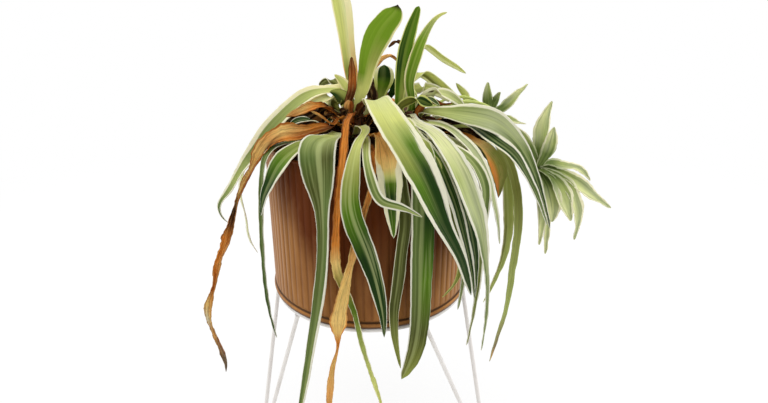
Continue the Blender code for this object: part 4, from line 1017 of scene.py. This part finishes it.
@cached
def copper_lacquer():
    """Brown-lacquered metal: brushed up and down, tarnished in patches and towards the seam."""
    pot = bpy.context.scene.plant_pot
    metal, tarnish = tuple(pot.metal), tuple(pot.tarnish)
    f = Finish("copper_lacquer")
    place = f.add("TexCoord", out="Object")
    x, y, z = (f.add("SeparateXYZ", out=axis, inputs={0: place}) for axis in "XYZ")
    patches = f.noise(f.scaled(place, 26.0, 26.0, 11.0), 5.0, 0.6)
    brushed = f.noise(f.scaled(place, 900.0, 900.0, 14.0), 3.0, 0.6)
    spots = f.noise(f.scaled(place, 330.0, 330.0, 240.0), 3.0, 0.7)

    # The lacquer has darkened at the front, under the leaves, and least low down.
    aside = f.size(f.plus(x, -float(AXIS[0]) - 8 * MM))
    spread = f.step(z, 120 * MM, 228 * MM, 26 * MM, 78 * MM)
    under = f.step(f.less(aside, spread), 18 * MM, -30 * MM)
    under = f.times(under, f.step(z, 104 * MM, 212 * MM, 0.15, 1.0))
    under = f.times(under, f.step(y, 25 * MM, -15 * MM))
    stain = f.fit(f.step(patches, 0.38, 0.7), 0.4, under, clamp=True)
    coat = f.mix(stain, metal, tarnish)
    coat = f.mix(f.step(brushed, 0.35, 0.75, end=0.2), coat, tarnish)
    groove = f.times(f.step(f.attribute("groove"), 0.12, 0.7), f.fit(under, -0.3, 0.45))
    coat = f.mix(groove, coat, f.tint(coat, (0.46, 0.34, 0.18)))
    coat = f.mix(f.step(spots, 0.7, 0.76, end=0.4), coat, (0.02, 0.008, 0.003))
    seam = f.step(f.size(f.less(z, SEAM_HEIGHT)), 0.75 * MM, 0.25 * MM, end=0.85)
    under_lip = f.step(z, SEAM_HEIGHT - 1.6 * MM, SEAM_HEIGHT - 3.6 * MM, end=0.9)
    coat = f.mix(f.most(seam, under_lip), coat, (0.045, 0.018, 0.005))

    rough = f.fit(patches, 0.2, f.fit(stain, 0.2, pot.roughness - 0.1))
    grain = f.fit(brushed, 0.5, f.times(spots, 0.4))
    return f.finish(
        base_color=coat, metallic=f.fit(stain, -0.5, 0.65), roughness=rough,
        specular_ior_level=f.fit(stain, -0.4, 0.5), normal=f.bump(grain, 0.08 * MM, 0.5))


@cached
def white_powder_coat():
    """White powder coat on steel wire: a faint orange peel, greyed where it was handled."""
    f = Finish("white_powder_coat")
    place = f.add("TexCoord", out="Object")
    peel = f.noise(f.scaled(place, 900.0, 900.0, 900.0), 2.0)
    grime = f.noise(f.scaled(place, 60.0, 60.0, 30.0), 4.0, 0.6)
    paint = tuple(bpy.context.scene.plant_stand.paint)
    paint = f.mix(f.step(grime, 0.45, 0.75, end=0.4), paint, (0.5, 0.46, 0.42))
    return f.finish(
        base_color=paint, roughness=f.fit(grime, 0.2, 0.35), normal=f.bump(peel, 0.06 * MM, 0.5))


@cached
def dark_soil():
    """Damp peat with drier crumbs, bark and a few pale grains."""
    soil = bpy.context.scene.plant_soil
    earth, damp = tuple(soil.earth), tuple(soil.damp)
    f = Finish("dark_soil")
    place = f.add("TexCoord", out="Object")
    crumbs = f.noise(f.scaled(place, 420.0, 420.0, 420.0), 5.0, 0.7)
    patches = f.noise(f.scaled(place, 70.0, 70.0, 70.0), 3.0)
    grains = f.noise(f.scaled(place, 700.0, 700.0, 700.0), 1.0)
    peat = f.mix(f.step(crumbs, 0.42, 0.66), damp, earth)
    peat = f.mix(f.step(patches, 0.5, 0.7, end=0.6), peat, damp)
    peat = f.mix(f.step(grains, 0.74, 0.78, end=0.7), peat, (0.42, 0.34, 0.24))
    return f.finish(
        base_color=peat, roughness=1.0, specular_ior_level=0.15,
        normal=f.bump(crumbs, 1.2 * MM, 1.0))


@cached
def sheathed_stem():
    """The stems and crowns: pale green tissue with fibres, browned in patches."""
    colours = bpy.context.scene.plant_colours
    f = Finish("sheathed_stem")
    place = f.add("TexCoord", out="Object")
    fibres = f.noise(f.scaled(place, 900.0, 900.0, 60.0), 3.0, 0.6)
    patches = f.noise(f.scaled(place, 130.0, 130.0, 60.0), 4.0, 0.6)
    tissue = f.mix(f.step(fibres, 0.35, 0.7), tuple(colours.olive), tuple(colours.dark_olive))
    tissue = f.mix(f.step(patches, 0.36, 0.5), tissue, tuple(colours.bark))
    tissue = f.mix(f.step(fibres, 0.4, 0.65, end=0.8), tissue, tuple(colours.umber))
    return f.finish(base_color=tissue, roughness=0.6, normal=f.bump(fibres, 0.3 * MM, 0.7))


@cached
def runner_skin():
    """The runners: smooth yellow-green skin, a little streaked."""
    colours = bpy.context.scene.plant_colours
    f = Finish("runner_skin")
    flat = f.add("UVMap", uv_map="surface")
    streaks = f.noise(f.scaled(flat, 30.0, 2.0, 1.0), 3.0)
    skin = f.mix(f.step(streaks, 0.35, 0.7), tuple(colours.lime), tuple(colours.fresh_green))
    return f.finish(base_color=skin, roughness=0.45, normal=f.bump(streaks, 0.1 * MM, 0.5))


# Leaves.


def natural_spline(knots, samples=600):
    """The natural cubic spline through the knots, parameterised by the chord between them.

    Its second derivatives solve one linear system, and each sample is a cubic of the two
    knots beside it.
    """
    chord = np.linalg.norm(np.diff(knots[:, :3], axis=0), axis=1)
    at = np.concatenate([[0.0], np.cumsum(chord)])
    count = len(at)
    system = np.eye(count)
    right = np.zeros_like(knots)
    for i in range(1, count - 1):
        before, after = chord[i - 1], chord[i]
        system[i, i - 1 : i + 2] = before, 2 * (before + after), after
        right[i] = 6 * ((knots[i + 1] - knots[i]) / after - (knots[i] - knots[i - 1]) / before)
    bend = np.linalg.solve(system, right)
    u = np.linspace(0.0, at[-1], samples)
    i = np.clip(np.searchsorted(at, u, side="right") - 1, 0, count - 2)
    h = chord[i][:, None]
    before, after = (at[i + 1] - u)[:, None], (u - at[i])[:, None]
    curved = (bend[i] * before**3 + bend[i + 1] * after**3) / (6 * h)
    start, end = knots[i] / h - bend[i] * h / 6, knots[i + 1] / h - bend[i + 1] * h / 6
    return curved + start * before + end * after, np.interp(u, at, np.arange(count))


def leaf_knots(leaf):
    """Rows of x, y, z, roll and width: the leaf's knots, led by its root and its collar.

    The second result is how many rows lead the knots.
    """
    knots = []
    for x, y, z, width, *roll in leaf.knots:
        knots.append((x, y, z, roll[0] if roll else 0, max(1, width * leaf.wider)))
    if leaf.crown is None:
        return np.array(knots, float), 1
    rise = math.radians(leaf.rise)
    out = outward(math.radians(leaf.azimuth))
    seat = np.array(CROWNS[leaf.crown]) + out * (CROWN_RADIUS + LEAF_SEAT)
    width = min(LEAF_BASE, knots[0][4])
    first = [
        (*(seat - out * ROOT), leaf.height - ROOT_DIP, 0, width * 1.15),
        (*seat, leaf.height, 0, width * 1.1),
        (*(seat + out * COLLAR * math.cos(rise)), leaf.height + COLLAR * math.sin(rise), 0, width),
    ]
    return np.array([*first, *knots], float), len(first)


def parsed(run):
    """The knot numbers of a run and its values as text."""
    pairs = [part.split() for part in str(run).split(",")]
    if len(pairs[0]) == 1:
        return [0.0], pairs[0]
    knots, values = zip(*pairs)
    return [float(knot) for knot in knots], values


def along_run(run, at):
    """The numbers of a run, blended at each knot number."""
    knots, values = parsed(run)
    return np.interp(at, knots, [float(value) for value in values])


def colours_along(run, at):
    """The linear colours of a run of colour names, blended at each knot number."""
    colours = bpy.context.scene.plant_colours
    knots, names = parsed(run)
    values = np.array([tuple(getattr(colours, name)) for name in names])
    return np.stack([np.interp(at, knots, channel) for channel in values.T], axis=-1)


def leaf_places(leaf, look, seed):
    """The places of a leaf over its length and width, and its attributes.

    place = route + half width · (across · x + upward · z), where x and z are an arc of
    curl degrees a side, folded up by the gutter, plus ripples that grow towards the edges
    and a crumple over the whole blade.
    """
    shape = bpy.context.scene.plant_shape
    knots, first = leaf_knots(leaf)
    path, number = natural_spline(knots)
    run = run_along(path[:, :3])
    stations = max(FEWEST_ROWS, round(run[-1] * MM / shape.station))
    share = 1.0 - (1.0 - np.linspace(0.0, 1.0, stations)) ** TIP_CROWDING
    at = share * run[-1]
    path = np.column_stack([np.interp(at, run, column) for column in path.T])
    number = np.interp(at, run, number) - first
    route = path[:, :3]
    along = unit(np.gradient(route, axis=0))
    turn = (leaf.facing - leaf.azimuth + 180.0) % 360.0 - 180.0
    azimuth = np.radians(leaf.azimuth + turn * smoothstep(share / FACING_SHARE))
    across = np.column_stack([-np.sin(azimuth), np.cos(azimuth), np.zeros(stations)])
    across = unit(across - along * (across * along).sum(axis=1, keepdims=True))
    upward = np.cross(along, across)
    dry = along_run(look.dry, number)
    twist = DRY_TWIST * dry * wander(seed + 1, at / DRY_TWIST_PACE, octaves=2)
    roll = np.radians(path[:, 3] + twist)[:, None]
    across, upward = (
        across * np.cos(roll) + upward * np.sin(roll),
        upward * np.cos(roll) - across * np.sin(roll),
    )
    half = np.maximum(path[:, 4], 0.5) / 2
    half = half * (1.0 + look.ragged * wander(seed + 2, at / RAGGED_PACE))
    tip = 1.0 - np.minimum((1.0 - share) / TIP_SHARE, 1.0)
    half = half * (1.0 - tip**2) + TIP_HALF_WIDTH

    widest = half.max()
    columns = 2 * int(np.clip(round(widest / COLUMN), FEWEST_COLUMNS, MOST_COLUMNS)) + 1
    aside = np.linspace(-1.0, 1.0, columns)[None, :]
    curl = np.maximum(np.radians(along_run(look.curl, number)), 0.02)[:, None]
    x, z = np.sin(aside * curl) / curl, (1.0 - np.cos(aside * curl)) / curl
    gutter = shape.gutter * smoothstep(share / FOLDING_SHARE)[:, None]
    fold = np.abs(aside) ** 1.3 * np.sin(gutter)
    x = x * np.cos(gutter)
    down = at[:, None]
    ripple = shape.ripple / MM * np.abs(aside) ** 3
    ripple = ripple * wander(seed + 3, down / RIPPLE_PACE, np.sign(aside) * 2.0, octaves=3)
    crumple = along_run(look.crumple, number)[:, None]
    heave = crumple * wander(seed + 4, down / CRUMPLE_PACE, aside * 1.6)
    heave = heave * (0.35 + 0.65 * np.abs(aside))
    pleat = PLEAT * np.cos(aside * widest * PLEATS) * np.minimum(half / 2.0, 1.0)[:, None]
    # Dead tissue folds along its length: a ridge is the size of a sine whose phase wanders.
    phase = aside * DRY_FOLDS + 1.5 * wander(seed + 5, down / DRY_FOLD_PACE, octaves=2)
    ridge = np.abs(np.sin(phase))
    pleat = pleat - DRY_FOLD * dry[:, None] * np.minimum(half, 3.5)[:, None] * ridge
    fade = smoothstep((1.0 - share) / CALM_SHARE) * smoothstep(share / CALM_SHARE)
    lift = half[:, None] * (z + fold) + (ripple + heave + pleat) * fade[:, None]
    reach = half[:, None] * x
    places = route[:, None] + reach[..., None] * across[:, None]
    places = places + lift[..., None] * upward[:, None]

    grid = np.zeros((stations, columns))
    left, right, midrib, streaks = (
        along_run(run, number)[:, None]
        for run in (look.left, look.right, look.midrib, look.streaks))

    def tinted(first, second=None):
        """Colours that go from the first run on the left to the second on the right."""
        first = colours_along(first, number)[:, None]
        second = first if second is None else colours_along(second, number)[:, None]
        share = smoothstep((aside + 0.35) / 0.7)[..., None]
        colours = first + (second - first) * share
        return np.concatenate([colours, np.ones((stations, columns, 1))], axis=-1)

    points = {
        "aside": grid + aside,
        "edge": np.where(aside < 0, left, right),
        "midrib": grid + midrib,
        "streaks": grid + streaks,
        "dry": grid + dry[:, None],
        "crease": dry[:, None] * (1.0 - ridge),
        "tissue": tinted(look.tissue, look.shade),
        "edging": tinted(look.edging),
    }
    flat = np.stack([grid + aside * widest, grid + down], axis=-1) / 10.0
    flat = flat + np.array([seed * 3.7 % 50.0, 0.0])
    return places * MM, flat, points


def add_leaf(leaf, seed, node=None):
    """One leaf, as a sheet with a thickness."""
    grid = leaf_places(leaf, leaf.look or FINISH_LOOKS[leaf.finish], seed)
    thicken(surface(f"{leaf.name}_blade", [grid], striped_tissue(), node))


def thicken(made):
    """Gives a sheet the leaves' thickness, half to each side."""
    solidify = made.modifiers.new("thickness", "SOLIDIFY")
    solidify.thickness = bpy.context.scene.plant_shape.thickness
    solidify.offset = 0.0


def add_side(side):
    """The leaves of one side of the plant."""
    for i, leaf in enumerate(LEAVES):
        if side_of(leaf) == side:
            add_leaf(leaf, SEED_STEP * i, leaf.name)
    return {"FINISHED"}


def side_of(leaf):
    """Where a leaf hangs: dead ones are a group of their own."""
    if leaf.finish in ("dead", "brown"):
        return "dead"
    if leaf.name.startswith("upright"):
        return "upright"
    if "back" in leaf.name or "behind" in leaf.name or leaf.name == "short_leaf_dark":
        return "behind"
    return "hanging"


# Operators.


class PLANT_OT_pot_wall(bpy.types.Operator):
    """Build the ribbed metal wall with its rolled rim"""

    bl_idname = "plant.pot_wall"
    bl_label = "Pot Wall"

    def execute(self, context):
        pot = context.scene.plant_pot
        angles = circle(pot.ribs * 12)
        top, foot = WALL_HIGH.z, WALL_LOW.z
        outer = POT_RADIUS
        inner = outer - POT_WALL
        bead = outer + pot.bead
        sides = np.linspace(top - 3.0 * MM, foot + 1.2 * MM, 24)
        rim = rounded([
            (inner, top - 2.6 * MM), (inner, top - 0.9 * MM), (inner + 0.3 * MM, top - 0.1 * MM),
            (outer + 0.5 * MM, top + 0.05 * MM), (bead, top - 0.3 * MM), (bead, top - 1.7 * MM),
            (outer + 0.2 * MM, top - 2.1 * MM), (outer, top - 2.6 * MM)], 5)
        profile = [
            *[(inner, z) for z in sides[::-1]], *rim, *[(outer, z) for z in sides],
            (outer, foot + 0.2 * MM), (outer - 0.2 * MM, foot), (inner + 0.2 * MM, foot),
            (inner, foot + 0.2 * MM),
        ]
        heights = np.array(profile)[:, 1][:, None]
        # A rib is round and the groove between two is narrow: |cos(ribs · angle / 2)| ^ 0.7.
        crest = np.abs(np.cos(pot.ribs * angles / 2)) ** 0.7
        rib = pot.rib_depth * (crest - 0.55)
        fade = smoothstep((top - 2.2 * MM - heights) / (1.6 * MM))
        fade = fade * smoothstep((heights - foot) / (1.5 * MM))
        sway = 0.12 * MM * wander(5, angles * 3.0, heights * 40.0, octaves=2)
        places = turned(profile, angles, (rib + sway * 0.5) * fade)
        shell(
            "ribbed_pot_wall", places, copper_lacquer(), "pot_wall", loop=True,
            points={"groove": (1.0 - crest) * fade})
        return {"FINISHED"}


class PLANT_OT_pot_base(bpy.types.Operator):
    """Build the pot's floor with the rolled lip under the seam"""

    bl_idname = "plant.pot_base"
    bl_label = "Pot Base"

    def execute(self, context):
        low, top = BASE_LOW.z, BASE_HIGH.z
        lip = LIP_RADIUS
        lip_curve = rounded([
            (lip - 1.8 * MM, top), (lip - 1.8 * MM, SEAM_HEIGHT + 0.1 * MM),
            (lip - 0.6 * MM, SEAM_HEIGHT - 0.4 * MM), (lip, SEAM_HEIGHT - 1.4 * MM),
            (lip, SEAM_HEIGHT - 3.0 * MM), (lip - 0.8 * MM, low), (lip - 3.8 * MM, low),
            (lip - 4.5 * MM, low + 1.2 * MM), (lip - 4.6 * MM, top - 1.0 * MM)], 6)
        under = top - 1.0 * MM
        profile = [(0.0, top), (lip / 2, top), *lip_curve, (lip / 2, under), (0.0, under)]
        places = turned(profile, circle(240))
        shell("rolled_pot_base", places, copper_lacquer(), "pot_base")
        return {"FINISHED"}


class PLANT_OT_stand(bpy.types.Operator):
    """Build the white wire ring and its three hairpin legs"""

    bl_idname = "plant.stand"
    bl_label = "Wire Stand"

    def execute(self, context):
        radius = WIRE / 2
        section = -circle(16)
        profile = np.column_stack([
            RING_RADIUS + radius * np.cos(section), RING_HEIGHT + radius * np.sin(section)])
        places = turned(profile, circle(180))
        shell("wire_ring", places, white_powder_coat(), "stand_ring", loop=True)
        for side, leg in LEGS.items():
            self.add_leg(context, side, *leg)
        return {"FINISHED"}

    def add_leg(self, context, side, azimuth, spread, reach):
        """A hairpin: straight rods from the ring into a half circle that stands on the floor.

        The wire swells by the weld's size where it meets the ring, as a bell curve of the
        distance from its end.
        """
        radius = WIRE / 2

        def at(distance, degrees, height):
            return np.array([*(distance * outward(math.radians(degrees))), height])

        foot = at(reach, azimuth, radius + FOOT_BEND)
        aside = at(1.0, azimuth + 90, 0.0)
        angle = np.linspace(0, math.pi, 25)[:, None]
        bend = foot + FOOT_BEND * (aside * np.cos(angle) - np.array([0, 0, 1.0]) * np.sin(angle))
        t = np.linspace(0, 1, 60)[:, None]
        height = RING_HEIGHT - radius * 0.6
        tops = [at(RING_RADIUS, azimuth + turn, height) for turn in (spread, -spread)]
        rods = [top + (end - top) * t for top, end in zip(tops, (bend[0], bend[-1]))]
        route = np.concatenate([rods[0][:-1], bend, rods[1][::-1][1:]])
        run = run_along(route)
        from_end = np.minimum(run, run[-1] - run)
        swell = context.scene.plant_stand.weld * np.exp(-(from_end / (2.2 * MM)) ** 2)
        places = tube(route, radius + swell, 16)
        around = np.linspace(0, 2 * math.pi * radius, 17)
        run = np.concatenate([[0.0], run, run[-1:]])
        flat = np.stack(np.broadcast_arrays(around[None, :], run[:, None]), axis=-1) * 10
        node = f"hairpin_leg_{side}"
        shell(f"wire_{node}", places, white_powder_coat(), node, flat)


class PLANT_OT_soil(bpy.types.Operator):
    """Build the root ball with its crumbly top"""

    bl_idname = "plant.soil"
    bl_label = "Soil"

    def execute(self, context):
        lumps = context.scene.plant_soil.lumps
        edge = (SOIL_HIGH.x - SOIL_LOW.x) / 2
        top, foot = SOIL_HIGH.z, SOIL_LOW.z
        rings = 70
        radius = np.linspace(0, edge - 0.4 * MM, rings)
        above = smoothstep((edge - radius) / (3 * MM)) * smoothstep(radius / MM)
        fall = 5.0 * MM * smoothstep(radius / edge - 0.35)
        radius = np.concatenate([radius, [edge, edge, edge, edge / 2, 0.0]])
        height = np.concatenate([top - fall, [top - 6.5 * MM, top - 20 * MM, foot, foot, foot]])
        places = turned(np.column_stack([radius, height]), circle(220))
        x, y = places[:rings, :, 0] / MM, places[:rings, :, 1] / MM
        rough = wander(31, x / 7, y / 7) + 0.6 * wander(32, x / 2.6, -y / 2.6)
        rough = rough + 0.4 * wander(33, y / 1.2, x / 1.1)
        places[:rings, :, 2] += lumps * (rough - 0.8) * 0.6 * above[:, None]
        shell("crumbly_soil", places, dark_soil(), "soil")
        return {"FINISHED"}


class PLANT_OT_crowns(bpy.types.Operator):
    """Build the two crowns of overlapping leaf bases"""

    bl_idname = "plant.crowns"
    bl_label = "Crowns"

    def execute(self, context):
        for seed, (side, (x, y)) in enumerate(CROWNS.items(), CROWN_SEED):
            node = f"crown_{side}"
            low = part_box(node)[0].z
            height = np.linspace(CROWN_TOP * MM, low, 50)
            up = (height - low) / (CROWN_TOP * MM - low)
            # The stem tapers at its top and swells at its foot.
            reach = CROWN_RADIUS * MM * (0.93 + 0.07 * np.cos(up * 3))
            reach = reach * np.sqrt(1 - np.clip(up * 1.06 - 0.06, 0, 1) ** 9)
            reach = np.concatenate([[0.0], reach[1:], [0.0]])
            height = np.concatenate([height, [low]])
            angles = circle(120)
            # Leaf bases overlap as steps that wind round the stem.
            round_stem = SHEATHS * angles[None, :] / (2 * math.pi)
            wind = (round_stem + height[:, None] / (SHEATH_PITCH * MM)) % 1.0
            step = (wind - smoothstep((wind - 0.86) / 0.14)) * SHEATH_STEP * MM
            fine = 0.12 * MM * np.cos(angles * 34)[None, :]
            fine = fine + 0.3 * MM * wander(seed, angles * 4, height[:, None] * 300)
            wave = (step - 1.3 * MM + fine) * (reach > 0.002)[:, None]
            places = turned(np.column_stack([reach, height]), angles, wave)
            flat = flat_turned(places)
            places = places + np.array([x, y, 0.0]) * MM
            shell(f"sheathed_{node}", places, sheathed_stem(), node, flat)
        return {"FINISHED"}


class PLANT_OT_hanging_leaves(bpy.types.Operator):
    """Build the green and olive leaves that hang over the pot"""

    bl_idname = "plant.hanging_leaves"
    bl_label = "Hanging Leaves"

    def execute(self, context):
        return add_side("hanging")


class PLANT_OT_upright_leaves(bpy.types.Operator):
    """Build the leaves that still stand up"""

    bl_idname = "plant.upright_leaves"
    bl_label = "Upright Leaves"

    def execute(self, context):
        return add_side("upright")


class PLANT_OT_leaves_behind(bpy.types.Operator):
    """Build the leaves behind the crowns and down the back"""

    bl_idname = "plant.leaves_behind"
    bl_label = "Leaves Behind"

    def execute(self, context):
        return add_side("behind")


class PLANT_OT_dead_leaves(bpy.types.Operator):
    """Build the dried and half-dried leaves"""

    bl_idname = "plant.dead_leaves"
    bl_label = "Dead Leaves"

    def execute(self, context):
        return add_side("dead")


class PLANT_OT_litter(bpy.types.Operator):
    """Build the extra leaves, the dried sheaths and the mats of dead leaves round the crowns"""

    bl_idname = "plant.litter"
    bl_label = "Sheaths and Litter"

    def execute(self, context):
        for i, leaf in enumerate(EXTRA_LEAVES):
            add_leaf(leaf, EXTRA_SEED + SEED_STEP * i)
        for seed, mat in enumerate(MATS, MAT_SEED):
            self.add_mat(mat, seed)
        self.add_scraps(SCRAP_SEED)
        return {"FINISHED"}

    def add_mat(self, mat, seed):
        """Blades that leave the crown at random within the mat's ranges, arch and droop.

        A blade's place is its crown's axis + (radius + run) · outward, at its height + rise ·
        run - droop · run squared.
        """
        draw = np.random.default_rng(seed)
        grids = []
        for i in range(mat.count):
            azimuth = draw.uniform(*mat.azimuths)
            height = draw.uniform(*mat.heights)
            reach = draw.uniform(*mat.lengths)
            slope = math.tan(math.radians(draw.uniform(*mat.rises)))
            droop = draw.uniform(*mat.droops)
            veer = math.radians(azimuth + draw.uniform(-MAT_VEER, MAT_VEER))
            width = draw.uniform(*mat.widths)
            knots = []
            for share, broad in MAT_TAPER:
                run = COLLAR + reach * share
                angle = math.radians(azimuth) * (1 - share) + veer * share
                x, y = np.array(CROWNS[mat.crown]) + (CROWN_RADIUS + run) * outward(angle)
                rise = slope * min(run, MAT_BEND) + 0.2 * slope * max(run - MAT_BEND, 0.0)
                knots.append((x, y, height + rise - droop * run**2, width * broad))
            rise = math.degrees(math.atan(slope))
            blade = Leaf(mat.name, "brown", mat.crown, azimuth, height, rise, azimuth, knots)
            tissue, shade = (str(draw.choice(mat.colours)) for _ in range(2))
            look = dead(
                tissue=tissue, shade=shade, edging="umber", left=0.92, right=0.92, crumple=1.0)
            grids.append(leaf_places(blade, look, seed * 100 + i))
        thicken(surface(mat.name, grids, striped_tissue()))

    def add_scraps(self, seed):
        """Dead scraps that lie on the soil, at a radius and angle drawn for each."""
        draw = np.random.default_rng(seed)
        grids = []
        for i in range(SCRAPS):
            radius = draw.uniform(*SCRAP_PLACES)
            angle, way = draw.uniform(0, 2 * math.pi), draw.uniform(0, 2 * math.pi)
            start = radius * outward(angle)
            step = outward(way) * draw.uniform(*SCRAP_STEPS)
            ground = SOIL_HIGH.z / MM - 0.4 - 3.5 * smoothstep(radius / 72 - 0.35)
            knots = []
            for j, width in enumerate(SCRAP_WIDTHS):
                x, y = start + step * j
                if math.hypot(x, y) > SCRAP_REACH:
                    break
                z = ground + draw.uniform(0.3, 3.5)
                knots.append((x, y, z, width * draw.uniform(0.7, 1.2)))
            if len(knots) < 3:
                continue
            scrap = Leaf("scrap", "brown", None, math.degrees(way), 0, 0, math.degrees(way), knots)
            tissue = str(draw.choice(["umber", "bark", "bark", "rust", "tan"]))
            look = dead(tissue=tissue, edging="umber", crumple=0.7)
            grids.append(leaf_places(scrap, look, seed * 100 + i))
        thicken(surface("leaf_litter_on_soil", grids, striped_tissue()))


class PLANT_OT_plantlets(bpy.types.Operator):
    """Build the runners and the young plants at their ends"""

    bl_idname = "plant.plantlets"
    bl_label = "Plantlets"

    def execute(self, context):
        for seed, plantlet in enumerate(PLANTLETS, PLANTLET_SEED):
            self.add_runner(plantlet, seed)
            self.add_plantlet(plantlet, seed)
        return {"FINISHED"}

    def add_runner(self, plantlet, seed):
        """The runner: a tube on a spline, thickest at the crown, with two small swellings."""
        out = outward(math.radians(plantlet.azimuth))
        start = np.array(CROWNS[plantlet.crown]) + out * (CROWN_RADIUS - ROOT_DIP)
        knots = np.array([(*start, plantlet.height), *plantlet.runner, plantlet.heart], float)
        route = natural_spline(knots, 120)[0] * MM
        share = np.linspace(0, 1, 120)
        swell = np.exp(-(((share - 0.35) / 0.02) ** 2)) + np.exp(-(((share - 0.7) / 0.02) ** 2))
        radius = RUNNER / 2 * MM * (1.0 - 0.2 * share + 0.35 * swell)
        places = tube(route, radius, 14)
        flat = np.stack(np.meshgrid(np.linspace(0, 1, 15), np.linspace(0, 10, 122)), axis=-1)
        node = f"runner_{plantlet.name}"
        shell(f"{node}_stem", places, runner_skin(), node, flat)

    def add_plantlet(self, plantlet, seed):
        """The plantlet: all its blades, one piece."""
        node = f"plantlet_{plantlet.name}"
        grids = []
        for i, (facing, knots) in enumerate(plantlet.blades):
            knots = ((*plantlet.heart, BLADE_BASE), *knots)
            blade = Leaf(node, "pale", None, facing, 0, 0, facing, knots, wider=plantlet.wider)
            grids.append(leaf_places(blade, SPROUT, seed * 50 + i))
        thicken(surface(f"{node}_rosette", grids, striped_tissue(), node))


class PLANT_OT_stage(bpy.types.Operator):
    """Build the pale floor, the soft lamps and the camera"""

    bl_idname = "plant.stage"
    bl_label = "Stage"

    def execute(self, context):
        stage = context.scene.plant_stage
        scene = context.scene
        scene.view_settings.view_transform = "Standard"
        self.add_floor(scene, stage)
        self.set_world(scene, stage)
        for name, power, place, size in LAMPS:
            self.add_lamp(name, getattr(stage, power), place, size)
        camera = bpy.data.cameras.new("camera")
        camera.lens = stage.lens
        camera.sensor_width = SENSOR
        seat = bpy.data.objects.new("camera", camera)
        seat.location = CAMERA_PLACE
        seat.rotation_euler = (math.radians(CAMERA_TILT), 0.0, 0.0)
        scene.collection.objects.link(seat)
        scene.camera = seat
        return {"FINISHED"}

    def seen(self, tree):
        """1 for a ray from the camera, a reflection or a pane of glass, 0 for light."""
        camera = tree.add("LightPath", out="Is Camera Ray")
        rays = camera.node.outputs
        return tree.most(tree.most(camera, rays["Is Glossy Ray"]), rays["Is Transmission Ray"])

    def add_floor(self, scene, stage):
        """A level square that shows the plant's shadow close by and is white farther off."""
        f = Finish("pale_floor")
        shade = f.add("BsdfDiffuse", inputs={"Color": tuple(stage.floor_colour)})
        white = f.add("Emission", inputs={"Color": (1.0, 1.0, 1.0), "Strength": 1.0})
        # White takes over away from the plant, so that the floor has no edge.
        place = f.add("TexCoord", out="Object")
        far = f.add("VectorMath", out="Value", inputs={0: place}, operation="LENGTH")
        share = f.times(self.seen(f), f.step(far, 0.2, 0.9, 0.82, 1.0))
        f.end(share, shade, white, "Material Output")
        f.nodes.remove(f.shader)
        half = stage.floor_size / 2
        corners = [(-half, -half, 0), (half, -half, 0), (half, half, 0), (-half, half, 0)]
        mesh = bpy.data.meshes.new("floor")
        mesh.from_pydata(corners, [], [(0, 1, 2, 3)])
        mesh.materials.append(f.material)
        floor = bpy.data.objects.new("floor", mesh)
        scene.collection.objects.link(floor)

    def set_world(self, scene, stage):
        """The world: white where it is seen, and a soft grey light everywhere else."""
        world = bpy.data.worlds.new("studio")
        scene.world = world
        world.use_nodes = True
        f = Tree(world.node_tree)
        grey, white = (
            f.add("Background", inputs={"Color": (1.0, 1.0, 1.0), "Strength": strength})
            for strength in (stage.ambient, 1.0))
        f.end(self.seen(f), grey, white, "World Output")

    def add_lamp(self, name, power, place, size):
        """A square lamp that faces the plant."""
        lamp = bpy.data.lights.new(name, "AREA")
        lamp.energy = power
        lamp.size = size
        seat = bpy.data.objects.new(name, lamp)
        seat.location = place
        x, y, z = LAMP_AIM - place
        tilt, turn = math.atan2(math.hypot(x, y), -z), math.atan2(x, -y) + math.pi
        seat.rotation_euler = (tilt, 0.0, turn)
        bpy.context.scene.collection.objects.link(seat)


class PLANT_PT_panel(bpy.types.Panel):
    """The plant's settings and the operators that build it"""

    bl_idname = "PLANT_PT_panel"
    bl_label = "Wilting Spider Plant"
    bl_space_type = "VIEW_3D"
    bl_region_type = "UI"
    bl_category = "Spider Plant"

    def draw(self, context):
        for name, group in GROUPS.items():
            box = self.layout.box()
            box.label(text=group.__doc__)
            for key in group.__annotations__:
                box.prop(getattr(context.scene, name), key)
        for operator in OPERATORS:
            self.layout.operator(operator.bl_idname)


OPERATORS = (
    PLANT_OT_stage,
    PLANT_OT_pot_wall,
    PLANT_OT_pot_base,
    PLANT_OT_stand,
    PLANT_OT_soil,
    PLANT_OT_crowns,
    PLANT_OT_hanging_leaves,
    PLANT_OT_upright_leaves,
    PLANT_OT_leaves_behind,
    PLANT_OT_dead_leaves,
    PLANT_OT_litter,
    PLANT_OT_plantlets,
)


def register():
    for made in (*GROUPS.values(), *OPERATORS, PLANT_PT_panel):
        bpy.utils.register_class(made)
    for name, group in GROUPS.items():
        setattr(bpy.types.Scene, name, bpy.props.PointerProperty(type=group))


def unregister():
    for name in GROUPS:
        delattr(bpy.types.Scene, name)
    for made in (PLANT_PT_panel, *reversed(OPERATORS), *reversed(GROUPS.values())):
        bpy.utils.unregister_class(made)


def main():
    """Builds every piece in order and writes the sizes of the CAD and visual models."""
    register()
    for operator in OPERATORS:
        group, name = operator.bl_idname.split(".")
        getattr(getattr(bpy.ops, group), name)()


if __name__ == "__main__":
    main()
